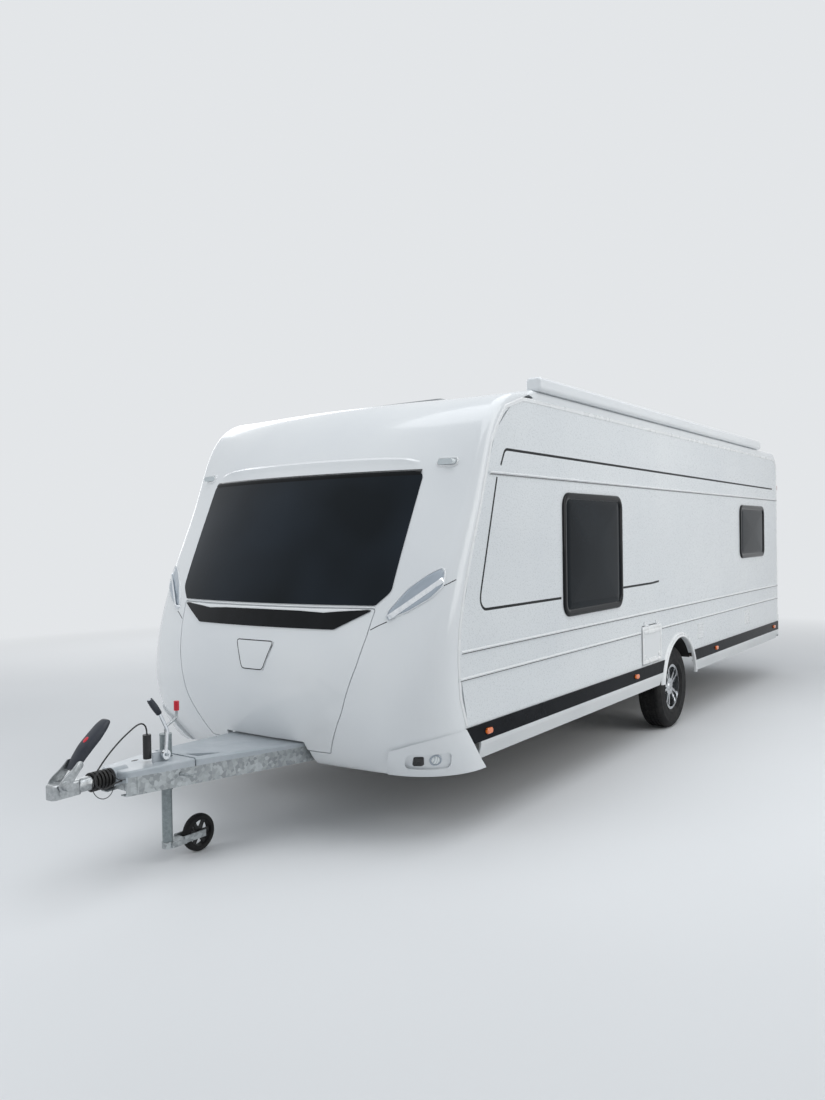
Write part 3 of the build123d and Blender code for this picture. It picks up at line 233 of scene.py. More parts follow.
def side_dome(name: str, loop: np.ndarray, normals: np.ndarray, rings: np.ndarray, crown: float,
              side: Side) -> Piece:
    """Crowned plate on a side wall: rings centre + (edge - centre) * t at y + crown * (1 - t^2).

    Args:
        name: the piece's name.
        loop: outline in the X-Z plane (N x 2).
        normals: outward normals of the outline (N x 2).
        rings: (set in, y) rows from the back edge to the front edge.
        crown: how far the middle stands out from the last edge ring.
        side: the side of the vehicle.

    Returns:
        The new object, closed at the back by a flat face.
    """
    centre = loop.mean(axis=0)
    edge = loop[None] - normals[None] * rings[:, None, :1]
    t = np.linspace(1.0, 0.0, 9)[1:]
    inner = centre + (edge[-1][None] - centre) * t[:, None, None]
    flat = np.concatenate([centre + (edge[:1] - centre) * 1e-4, edge, inner])
    depth = np.concatenate([rings[:1, 1], rings[:, 1], rings[-1, 1] + crown * (1 - t**2)])
    return solid(name, on_side(flat, side.value * depth[:, None]))


def round_profile(width: float, height: float, points: int = 16, power: float = 2.0) -> np.ndarray:
    """Superellipse section: (w/2 * |cos|^(2/p) * sign, h/2 * |sin|^(2/p) * sign) over a full turn."""
    a = full_turn(points)
    c, s = np.cos(a), np.sin(a)
    u = width / 2 * np.sign(c) * np.abs(c) ** (2 / power)
    v = height / 2 * np.sign(s) * np.abs(s) ** (2 / power)
    return np.stack([u, v], axis=-1)


def smooth_path(corners: Marks, points: int) -> np.ndarray:
    """Even points on a curve through corners: cubic spans whose end slopes are the neighbours' chord."""
    p = np.asarray(corners, float)
    slope = np.gradient(p, axis=0)
    t = np.linspace(0, len(p) - 1, points)
    k = np.minimum(t.astype(int), len(p) - 2)
    f = (t - k)[:, None]
    a, b, m, n = p[k], p[k + 1], slope[k], slope[k + 1]
    near, far = 2 * f**3 - 3 * f**2 + 1, 3 * f**2 - 2 * f**3
    return near * a + (f**3 - 2 * f**2 + f) * m + far * b + (f**3 - f**2) * n


def lofted(name: str, path: np.ndarray, section: np.ndarray, up: Point,
           swell: Optional[np.ndarray] = None) -> Piece:
    """Closed bar: path + u * side + v * lift, with side = tangent x up and lift = side x tangent.

    Args:
        name: the piece's name.
        path: points (N x 3).
        section: (u, v) rows (M x 2).
        up: direction that the path never follows.
        swell: factor on the section at each path point.

    Returns:
        The new object, its ends closed.
    """
    tangent = unit(np.gradient(path, axis=0))
    side = unit(np.cross(tangent, np.broadcast_to(up, tangent.shape)))
    lift = unit(np.cross(side, tangent))
    size = np.ones(len(path)) if swell is None else swell
    uv = section[None] * size[:, None, None]
    grid = path[:, None, :] + uv[..., :1] * side[:, None, :] + uv[..., 1:] * lift[:, None, :]
    return solid(name, grid, caps=True)


def revolved(name: str, centre: Sequence[float], profile: np.ndarray, turns: int,
             dent: Optional[Callable[[np.ndarray, np.ndarray], np.ndarray]] = None) -> Piece:
    """Ring about a crosswise axis: (centre + r cos a, y, centre + r sin a), with r lowered by dent(a, row).

    Args:
        name: the piece's name.
        centre: a point on the axis.
        profile: closed section as (radius, y) rows, y measured from the centre.
        turns: points round the axis.
        dent: gives how far each point sinks towards the axis, from the angle and the profile row number.

    Returns:
        The new object.
    """
    angle = full_turn(turns)[:, None]
    radius = np.broadcast_to(profile[None, :, 0], (turns, len(profile)))
    if dent is not None:
        radius = radius - dent(angle, np.arange(len(profile))[None, :])
    y = np.broadcast_to(centre[1] + profile[None, :, 1], radius.shape)
    grid = np.stack([centre[0] + radius * np.cos(angle), y, centre[2] + radius * np.sin(angle)], axis=-1)
    return solid(name, grid, close_rows=True, sharp=40.0)


def disc(name: str, centre: Sequence[float], out: Sequence[float], profile: Marks,
         across: float = 1.0) -> Piece:
    """Round piece turned about the line through centre along out: centre + r (k cos a u + sin a v) + h out.

    Args:
        name: the piece's name.
        centre: middle of its seat.
        out: direction of its axis, never straight up.
        profile: (r, h) rows from the seat's rim over the front to the middle; the first row closes the back.
        across: factor k on the direction u, for an oval.

    Returns:
        The new object.
    """
    axis = unit(np.asarray(out, float))
    v = unit(np.array(UPWARD) - axis * axis[2])
    u = unit(np.cross(v, axis))
    a = full_turn(32)[:, None]
    rows = np.asarray([(1e-6, profile[0][1]), *profile, (1e-6, profile[-1][1])])
    spin = np.cos(a) * u * across + np.sin(a) * v
    grid = np.asarray(centre, float) + rows[:, None, :1] * spin[None] + rows[:, None, 1:] * axis
    return solid(name, grid)


# Patterns laid on the walls and on the CAD's skins


def rounded(corners: Marks, reach: float, close: bool = True) -> np.ndarray:
    """Outline with softened corners: c becomes (1-t)^2 a + 2t(1-t) c + t^2 b, a and b at reach from c.

    Args:
        corners: the outline's corners (N x 2).
        reach: how far from each corner the softening starts.
        close: whether the outline closes; an open one keeps its two ends.

    Returns:
        Points of the softened outline.
    """
    c = np.asarray(corners, float)
    before, after = np.roll(c, 1, axis=0), np.roll(c, -1, axis=0)
    room = 0.5 * np.minimum(np.linalg.norm(before - c, axis=1), np.linalg.norm(after - c, axis=1))
    far = np.minimum(reach, room)[:, None]
    a, b = c + unit(before - c) * far, c + unit(after - c) * far
    t = np.linspace(0, 1, BEND_STEPS)[None, :, None]
    bends = (1 - t) ** 2 * a[:, None] + 2 * t * (1 - t) * c[:, None] + t**2 * b[:, None]
    if close:
        return bends.reshape(-1, 2)
    return np.concatenate([c[:1], bends[1:-1].reshape(-1, 2), c[-1:]])


def parted(points: np.ndarray, step: float, close: bool = False) -> np.ndarray:
    """The same line with evenly parted points, about one step apart."""
    line = np.vstack([points, points[:1]]) if close else np.asarray(points, float)
    run = np.concatenate([[0.0], np.cumsum(np.linalg.norm(np.diff(line, axis=0), axis=1))])
    at = np.linspace(0, run[-1], max(int(run[-1] / step), 3) + 1)
    even = np.stack([np.interp(at, run, line[:, k]) for k in range(line.shape[1])], axis=-1)
    return even[:-1] if close else even


def slopes(points: np.ndarray, close: bool) -> np.ndarray:
    """Differences along the first axis, over the seam too when it closes."""
    if close:
        return np.roll(points, -1, axis=0) - np.roll(points, 1, axis=0)
    return np.gradient(points, axis=0)


class Ground:
    """A flat wall on which patterns are laid, with the unit axis that points out of it."""

    root: float = 0.003
    step: float = 0.012

    def __init__(self, way: Point) -> None:
        """Keeps the axis, its number and its sign."""
        self.way = np.asarray(way, float)
        self.axis = int(np.argmax(np.abs(self.way)))
        self.sign = float(np.sign(self.way[self.axis]))

    def lay(self, flat: np.ndarray, start: float) -> np.ndarray:
        """Points of a flat pattern (… x 2, the other coordinates) set at start along the way, as … x 3."""
        return np.insert(flat, self.axis, start * self.sign, axis=-1)

    def outward(self, normal: np.ndarray) -> np.ndarray:
        """Unit normals turned to the way; where there is none, the way itself."""
        weak = np.linalg.norm(normal, axis=-1, keepdims=True) < 1e-12
        normal = unit(np.where(weak, self.way, normal))
        return normal * np.where((normal @ self.way) < 0, -1.0, 1.0)[..., None]

    def moulding(self, name: str, flat: np.ndarray, height: np.ndarray, start: float,
                 close: bool = False) -> Piece:
        """Closed moulding over a pattern: top = skin + normal * height, underside = skin - normal * root.

        Args:
            name: the piece's name.
            flat: pattern as rows x columns x 2.
            height: height over the skin, rows x columns or anything that spreads to it.
            start: the coordinate from which the pattern is laid.
            close: whether the last row meets the first.

        Returns:
            The new object.
        """
        base = self.lay(flat, start)
        normal = self.outward(np.cross(slopes(base, close), np.gradient(base, axis=1)))
        top = base + normal * np.broadcast_to(height, base.shape[:2])[..., None]
        under = (base - normal * self.root)[:, ::-1]
        return solid(name, np.concatenate([top, under], axis=1), close, not close)

    def patch(self, name: str, outline: np.ndarray, heights: Sequence[float], start: float) -> Piece:
        """Closed patch inside an outline: rings shrink from it to its middle, each with its own height.

        Args:
            name: the piece's name.
            outline: points round the patch (N x 2).
            heights: height over the skin of each ring, from the outline to the middle.
            start: the coordinate from which the pattern is laid.

        Returns:
            The new object.
        """
        centre = outline.mean(axis=0)
        t = np.linspace(1.0, 0.002, len(heights))[:, None, None]
        base = self.lay(centre + (outline[None] - centre) * t, start)
        round_it = np.roll(base, -1, axis=1) - np.roll(base, 1, axis=1)
        normal = self.outward(np.cross(np.gradient(base, axis=0), round_it))
        top = base + normal * np.asarray(heights)[:, None, None]
        under = (base - normal * self.root)[::-1]
        return solid(name, np.concatenate([under, top]), caps=True)

    def line(self, name: str, corners: Marks, width: float, heights: Sequence[float], start: float,
             reach: float = 0.0, close: bool = False) -> Piece:
        """Moulding of one cross-section along a line: line + normal * offset, offsets even across the width.

        Args:
            name: the piece's name.
            corners: the line's corners.
            width: width of the moulding.
            heights: height over the skin at even steps across the width.
            start: the coordinate from which it is laid.
            reach: how far from each corner its softening starts.
            close: whether the line closes.

        Returns:
            The new object.
        """
        soft = rounded(corners, reach, close) if reach else np.asarray(corners, float)
        even = parted(soft, self.step, close)
        tangent = unit(slopes(even, close))
        normal = np.stack([-tangent[:, 1], tangent[:, 0]], axis=-1)
        offset = np.linspace(-0.5, 0.5, len(heights))[None, :, None] * width
        flat = even[:, None, :] + normal[:, None, :] * offset
        return self.moulding(name, flat, np.asarray(heights)[None, :], start, close)


class Skin(Ground):
    """A merged copy of some CAD nodes, onto which patterns are projected, and which is removed after use."""

    def __init__(self, nodes: Sequence[str], way: Point) -> None:
        """Copies the meshes of the named nodes; way points out of their skin."""
        super().__init__(way)
        mesh = bpy.data.meshes.new("skin")
        gathered(mesh, [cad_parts[name].data for name in nodes], weld=True, outward=False)
        self.body = linked("skin", mesh)

    def remove(self) -> None:
        """Takes the copy out of the scene."""
        bpy.data.meshes.remove(self.body.data)

    def lay(self, flat: np.ndarray, start: float) -> np.ndarray:
        """Points of a flat pattern moved against the skin's way until they meet it.

        Args:
            flat: pattern (… x 2) in the two coordinates across the way.
            start: the coordinate along the way from which the points set off.

        Returns:
            Points … x 3 on the skin.
        """
        points = super().lay(flat, start)
        mesh = bpy.data.meshes.new("pattern")
        mesh.from_pydata(points.reshape(-1, 3), [], [])
        pattern = linked("pattern", mesh)
        wrap = pattern.modifiers.new("wrap", "SHRINKWRAP")
        wrap.wrap_method = "PROJECT"
        wrap.target = self.body
        wrap.use_project_x, wrap.use_project_y, wrap.use_project_z = (self.axis == k for k in range(3))
        wrap.use_positive_direction, wrap.use_negative_direction = self.sign < 0, self.sign > 0
        shaped = pattern.evaluated_get(bpy.context.evaluated_depsgraph_get())
        found = np.empty(points.size)
        shaped.to_mesh().vertices.foreach_get("co", found)
        shaped.to_mesh_clear()
        bpy.data.meshes.remove(mesh)
        laid = found.reshape(points.shape)
        missed = int((laid[..., self.axis] * self.sign > start - 1e-6).sum())
        if missed:
            raise ValueError(f"{missed} points of a pattern lie beside the skin")
        return laid


# Finishes


class Plan:
    """A new node material with a Principled shader, and the few node moves that the finishes share."""

    def __init__(self, name: str) -> None:
        """Starts an empty material called name."""
        self.material = bpy.data.materials.new(name)
        self.material.use_nodes = True
        self.tree = self.material.node_tree
        self.tree.nodes.clear()
        self.shader = self.node("ShaderNodeBsdfPrincipled")
        self.output = self.node("ShaderNodeOutputMaterial")
        self.join(self.shader.outputs["BSDF"], self.output.inputs["Surface"])
        self.place = self.node("ShaderNodeTexCoord").outputs["Object"]

    def node(self, kind: str, **settings: object) -> bpy.types.Node:
        """New node with attributes and, by socket name, default inputs set."""
        made = self.tree.nodes.new(kind)
        for key, value in settings.items():
            if hasattr(made, key):
                setattr(made, key, value)
            else:
                made.inputs[key.replace("_", " ")].default_value = value
        return made

    def join(self, source: Socket, target: Socket) -> None:
        """Link from one socket to another."""
        self.tree.links.new(source, target)

    def spread(self, scale: Point) -> Socket:
        """Object coordinates times a scale along each axis."""
        mapping = self.node("ShaderNodeMapping", Scale=scale)
        self.join(self.place, mapping.inputs["Vector"])
        return mapping.outputs["Vector"]

    def noise(self, scale: float, detail: float = 3.0, rough: float = 0.5,
              where: Optional[Socket] = None) -> Socket:
        """Noise of the given scale per metre."""
        made = self.node("ShaderNodeTexNoise", Scale=scale, Detail=detail, Roughness=rough)
        self.join(where or self.place, made.inputs["Vector"])
        return made.outputs["Fac"]

    def cells(self, kind: str, scale: float, where: Socket) -> bpy.types.Node:
        """Cells round scattered points, scale to a metre."""
        made = self.node("ShaderNodeTexVoronoi", feature=kind, Scale=scale)
        self.join(where, made.inputs["Vector"])
        return made

    def maths(self, operation: str, one: Socket, other: Socket, clamp: bool = False) -> Socket:
        """One sum or product of two values."""
        made = self.node("ShaderNodeMath", operation=operation, use_clamp=clamp)
        self.join(one, made.inputs[0])
        self.join(other, made.inputs[1])
        return made.outputs["Value"]

    def ramp(self, value: Socket, *stops: tuple[float, Rgb]) -> Socket:
        """Colour that runs between two stops as value goes from 0 to 1."""
        made = self.node("ShaderNodeValToRGB")
        for element, (at, colour) in zip(made.color_ramp.elements, stops):
            element.position = at
            element.color = (*colour, 1)
        self.join(value, made.inputs["Fac"])
        return made.outputs["Color"]

    def between(self, value: Socket, low: float, high: float, start: float = 0.0, end: float = 1.0) -> Socket:
        """Value mapped from start…end to low…high."""
        made = self.node("ShaderNodeMapRange", From_Min=start, From_Max=end, To_Min=low, To_Max=high)
        self.join(value, made.inputs["Value"])
        return made.outputs["Result"]

    def colour(self, value: Socket, *stops: tuple[float, Rgb]) -> None:
        """Base colour between two stops."""
        self.join(self.ramp(value, *stops), self.shader.inputs["Base Color"])

    def rough(self, value: Socket, low: float, high: float) -> None:
        """Roughness between low and high."""
        self.join(self.between(value, low, high), self.shader.inputs["Roughness"])

    def relief(self, height: Socket, depth: float, strength: float) -> None:
        """Bump on the shader from a height of 0 to 1 that stands for depth metres."""
        made = self.node("ShaderNodeBump", Strength=strength, Distance=depth)
        self.join(height, made.inputs["Height"])
        self.join(made.outputs["Normal"], self.shader.inputs["Normal"])

    def shine(self, metallic: float = 0.0, coat: float = 0.0, coat_rough: float = 0.05,
              ior: float = 1.5) -> None:
        """Values of the shader that do not change over the surface."""
        inputs = self.shader.inputs
        inputs["Metallic"].default_value = metallic
        inputs["Coat Weight"].default_value = coat
        inputs["Coat Roughness"].default_value = coat_rough
        inputs["IOR"].default_value = ior


@dataclass(frozen=True)
class Finish:
    """A finish, known by its material's name."""

    name: str

    def material(self) -> bpy.types.Material:
        """Builds the finish's material."""
        plan = Plan(self.name)
        self.paint(plan)
        return plan.material

    def paint(self, plan: Plan) -> None:
        """Adds colour, roughness and relief; each kind of finish has its own."""
        raise NotImplementedError


@dataclass(frozen=True)
class Moulding(Finish):
    """Gloss white moulded panel with orange-peel relief."""

    colour: Rgb = (0.76, 0.78, 0.79)
    shade: Rgb = (0.70, 0.725, 0.745)
    roughness: float = 0.16
    coat: float = 0.5

    def paint(self, plan: Plan) -> None:
        """Faint broad colour drift and uneven polish under a clear coat."""
        plan.colour(plan.noise(1.3, 2.0), (0.3, self.shade), (0.7, self.colour))
        plan.rough(plan.noise(9.0, 4.0), self.roughness * 0.8, self.roughness * 1.5)
        plan.relief(plan.noise(60.0, 1.0), 0.0006, 0.25)
        plan.shine(coat=self.coat)


@dataclass(frozen=True)
class HammeredSheet(Finish):
    """White coated aluminium sheet with a stucco pattern of small soft dimples."""

    colour: Rgb = (0.73, 0.755, 0.765)
    shade: Rgb = (0.66, 0.69, 0.71)
    cell: float = 0.011

    def paint(self, plan: Plan) -> None:
        """Dimples in the relief and the roughness, broad drift in the colour."""
        dimples = plan.cells("SMOOTH_F1", 1.0 / self.cell, plan.spread((1.0, 0.35, 1.25))).outputs["Distance"]
        plan.colour(plan.noise(0.9, 3.0), (0.3, self.shade), (0.72, self.colour))
        plan.rough(dimples, 0.24, 0.36)
        plan.relief(dimples, 0.0011, 0.55)
        plan.shine(coat=0.25, coat_rough=0.12)


@dataclass(frozen=True)
class TintedPane(Finish):
    """Dark acrylic pane."""

    colour: Rgb = (0.005, 0.007, 0.009)
    edge: Rgb = (0.010, 0.014, 0.018)
    wave: float = 0.004
    ior: float = 1.14

    def paint(self, plan: Plan) -> None:
        """Near black body under a mirror-smooth skin with a slow waviness."""
        plan.colour(plan.noise(2.0, 1.0), (0.3, self.colour), (0.7, self.edge))
        plan.rough(plan.noise(14.0), 0.02, 0.06)
        plan.relief(plan.noise(1.6, 0.0), self.wave, 0.5)
        plan.shine(ior=self.ior)


@dataclass(frozen=True)
class Plastic(Finish):
    """Moulded or painted plastic."""

    colour: Rgb
    worn: Rgb
    roughness: float = 0.45
    grain: float = 420.0
    depth: float = 0.0003
    ior: float = 1.42

    def paint(self, plan: Plan) -> None:
        """Fine grain and a rub of wear."""
        plan.colour(plan.noise(7.0, 5.0, 0.65), (0.38, self.colour), (0.75, self.worn))
        plan.rough(plan.noise(23.0), self.roughness * 0.8, self.roughness * 1.25)
        plan.relief(plan.noise(self.grain, 2.0), self.depth, 0.5)
        plan.shine(ior=self.ior)


@dataclass(frozen=True)
class Metal(Finish):
    """Bare or plated metal."""

    colour: Rgb
    dull: Rgb
    roughness: float
    grain: float = 90.0
    depth: float = 0.0002
    metallic: float = 1.0

    def paint(self, plan: Plan) -> None:
        """Colour drift, cast grain and uneven polish."""
        plan.colour(plan.noise(self.grain, 4.0, 0.6), (0.3, self.dull), (0.7, self.colour))
        plan.rough(plan.noise(self.grain * 0.4), self.roughness * 0.7, self.roughness * 1.4)
        plan.relief(plan.noise(self.grain * 3.0, 2.0), self.depth, 0.5)
        plan.shine(metallic=self.metallic)


@dataclass(frozen=True)
class Galvanised(Finish):
    """Hot-dip zinc."""

    bright: Rgb = (0.50, 0.53, 0.54)
    dull: Rgb = (0.30, 0.32, 0.33)

    def paint(self, plan: Plan) -> None:
        """Crystal spangle, whose cells differ in tone and polish, with dull patches."""
        spangle = plan.cells("F1", 55.0, plan.place)
        grey = plan.node("ShaderNodeSeparateColor")
        plan.join(spangle.outputs["Color"], grey.inputs["Color"])
        tone = plan.maths("MULTIPLY", grey.outputs["Red"], plan.noise(5.0, 4.0, 0.6))
        plan.colour(tone, (0.05, self.dull), (0.55, self.bright))
        plan.rough(grey.outputs["Green"], 0.38, 0.62)
        plan.relief(plan.noise(160.0, 2.0), 0.0003, 0.5)
        plan.shine(metallic=0.75)


@dataclass(frozen=True)
class Rubber(Finish):
    """Tyre or bellows rubber."""

    colour: Rgb = (0.011, 0.011, 0.012)
    dust: Rgb = (0.034, 0.033, 0.031)
    roughness: float = 0.72
    ior: float = 1.3

    def paint(self, plan: Plan) -> None:
        """Dust that settles in broad patches."""
        plan.colour(plan.noise(11.0, 5.0, 0.7), (0.42, self.colour), (0.78, self.dust))
        plan.rough(plan.noise(40.0), self.roughness * 0.85, self.roughness * 1.15)
        plan.relief(plan.noise(320.0, 3.0), 0.0004, 0.6)
        plan.shine(ior=self.ior)


@dataclass(frozen=True)
class Lens(Finish):
    """Lamp lens: a ribbed bright body under a gloss skin."""

    colour: Rgb
    deep: Rgb
    ribs: float = 190.0
    glow: float = 0.12

    def paint(self, plan: Plan) -> None:
        """Ribs in colour and relief, and a faint painted glow in the ribs' colour that stands in for light
        off the reflector.
        """
        scale = self.ribs / 6.2832
        bands = plan.node("ShaderNodeTexWave", wave_type="BANDS", bands_direction="X", Scale=scale)
        plan.join(plan.place, bands.inputs["Vector"])
        colour = plan.ramp(bands.outputs["Fac"], (0.1, self.deep), (0.85, self.colour))
        plan.join(colour, plan.shader.inputs["Base Color"])
        # Painted glow: the unlit lens emits a little light of its own colour, in place of light off its
        # reflector.
        plan.join(colour, plan.shader.inputs["Emission Color"])
        plan.shader.inputs["Emission Strength"].default_value = self.glow
        plan.rough(plan.noise(40.0), 0.06, 0.16)
        plan.relief(bands.outputs["Fac"], 0.0008, 0.6)
        plan.shine(coat=1.0, coat_rough=0.03)


@dataclass(frozen=True)
class FloorBoard(Finish):
    """Plywood floor seen from below."""

    colour: Rgb = (0.11, 0.085, 0.06)
    grain: Rgb = (0.055, 0.043, 0.032)

    def paint(self, plan: Plan) -> None:
        """Long faint grain under a dark sealing coat."""
        where = plan.spread((1.5, 22.0, 4.0))
        plan.colour(plan.noise(3.0, 6.0, 0.6, where), (0.3, self.grain), (0.7, self.colour))
        plan.rough(plan.noise(18.0), 0.5, 0.75)
        plan.relief(plan.noise(9.0, 4.0, 0.6, where), 0.0005, 0.5)


FINISHES = {
    "moulded_white": Moulding("moulded white"),
    "wall_panel": HammeredSheet("hammered wall sheet"),
    "trim_white": Moulding("white trim", (0.80, 0.81, 0.81), (0.75, 0.765, 0.775), 0.24, 0.2),
    "skirt_white": Moulding("skirt coating", (0.70, 0.715, 0.72), (0.62, 0.64, 0.65), 0.3, 0.15),
    # Lighter copy of the white trim: the parts' own white plus painted highlight along bead tops and bright
    # edges.
    "bright_trim_painted_highlight": Moulding("bright white bead", (0.86, 0.87, 0.87), (0.80, 0.82, 0.83), 0.14, 0.4),
    # Blue-grey painted shade: stands in for the shade inside the handle recesses and round the bumper lenses.
    "recess_painted_shade": Moulding("handle recess", (0.42, 0.47, 0.52), (0.33, 0.38, 0.44), 0.2, 0.6),
    "tinted_pane": TintedPane("tinted pane"),
    "front_pane": TintedPane("front pane", (0.006, 0.009, 0.012), (0.013, 0.019, 0.027), 0.008, 1.22),
    "roof_pane": TintedPane("rooflight pane", (0.16, 0.17, 0.18), (0.24, 0.25, 0.26), 0.002, 1.45),
    "black_trim": Plastic("black trim", (0.005, 0.006, 0.008), (0.01, 0.011, 0.014), 0.22, 300.0, 5e-5, 1.12),
    "black_gloss": Plastic("black gloss frame", (0.005, 0.006, 0.007), (0.009, 0.01, 0.012), 0.08, 60.0,
                           5e-5, 1.25),
    "black_plastic": Plastic("black plastic", (0.016, 0.017, 0.019), (0.05, 0.05, 0.05), 0.5),
    "seam_dark": Plastic("dark seam", (0.008, 0.009, 0.010), (0.016, 0.017, 0.018), 0.4, 200.0, 0.0001, 1.25),
    "arch_liner": Plastic("arch liner", (0.010, 0.010, 0.011), (0.022, 0.021, 0.02), 0.8, 120.0, 0.0008),
    "cover_grey": Plastic("drawbar cover grey", (0.40, 0.44, 0.47), (0.50, 0.53, 0.56), 0.34, 90.0, 0.0004),
    "lever_plastic": Plastic("lever plastic", (0.016, 0.02, 0.03), (0.045, 0.05, 0.062), 0.4, 260.0, 0.0004),
    "knob_red": Plastic("red knob", (0.55, 0.012, 0.03), (0.66, 0.05, 0.07), 0.3, 200.0, 0.0002),
    "bright_metal": Metal("bright plated metal", (0.86, 0.88, 0.90), (0.70, 0.73, 0.76), 0.08, 30.0),
    "coupling_metal": Metal("cast coupling", (0.52, 0.54, 0.55), (0.34, 0.36, 0.37), 0.38, 70.0, 0.0006),
    "grey_tube": Metal("grey jockey tube", (0.30, 0.34, 0.35), (0.20, 0.23, 0.24), 0.42, 60.0, metallic=0.35),
    "alloy": Metal("machined alloy", (0.72, 0.73, 0.74), (0.56, 0.58, 0.60), 0.22, 45.0),
    "galvanised": Galvanised("galvanised steel"),
    "tyre_rubber": Rubber("tyre rubber"),
    "bellows_rubber": Rubber("bellows rubber", (0.014, 0.014, 0.015), (0.05, 0.048, 0.045), 0.55),
    # The glow values of these lenses are painted glow; the lamps are not lit.
    "lamp_lens": Lens("amber lens", (0.95, 0.22, 0.02), (0.45, 0.06, 0.005)),
    "red_lens": Lens("red lens", (0.55, 0.012, 0.015), (0.22, 0.004, 0.006), glow=0.05),
    "clear_lens": Lens("clear lens", (0.76, 0.79, 0.80), (0.50, 0.55, 0.57), glow=0.02),
    "floor_board": FloorBoard("floor board"),
}
NODE_FINISHES = {
    "front_window": "front_pane",
    "locker_strip": "black_gloss",
    "drawbar_cover": "cover_grey",
    "overrun_housing": "cover_grey",
    "side_skirts": "skirt_white",
    "side_bands": "black_trim",
    "overrun_bellows": "bellows_rubber",
    "jockey_knob": "knob_red",
    "jockey_outer_tube": "grey_tube",
    "jockey_inner_tube": "grey_tube",
    "parked_plug": "black_plastic",
    "connection_cable": "black_plastic",
    "breakaway_cable": "black_plastic",
    "wheel_boxes": "arch_liner",
    "jockey_wheel": "tyre_rubber",
    "floor_panel": "floor_board",
}
SLOT_FINISHES = {"grey_skirt": "skirt_white", "wheel_rubber": "tyre_rubber"}
MADE: dict[str, bpy.types.Material] = {}


def finish_of(name: str) -> bpy.types.Material:
    """The material of a finish, built once."""
    if name not in MADE:
        MADE[name] = FINISHES[name].material()
    return MADE[name]


def dress_nodes() -> None:
    """Gives every CAD node the finish of its own name or of its material slot."""
    for name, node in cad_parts.items():
        slot = node.material_slots[0].material.name.split(".")[0]
        finish = NODE_FINISHES.get(name, SLOT_FINISHES.get(slot, slot))
        for place in node.material_slots:
            place.material = finish_of(finish)


def place_piece(piece: Piece, finish: str, body: str = "caravan", replaces: str = "") -> None:
    """Dresses a new piece, hangs it on its body and reports it.

    Args:
        piece: the mesh object.
        finish: the finish's name.
        body: the body that it moves with.
        replaces: the CAD node that the piece stands for, if any.
    """
    piece.data.materials.append(finish_of(finish))
    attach(piece, body)
    if replaces:
        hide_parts(replaces)
    LOG.info("piece %s on %s: %d faces", piece.name, body, len(piece.data.polygons))


# Sub-assemblies: distances along the part are given ahead of the axle


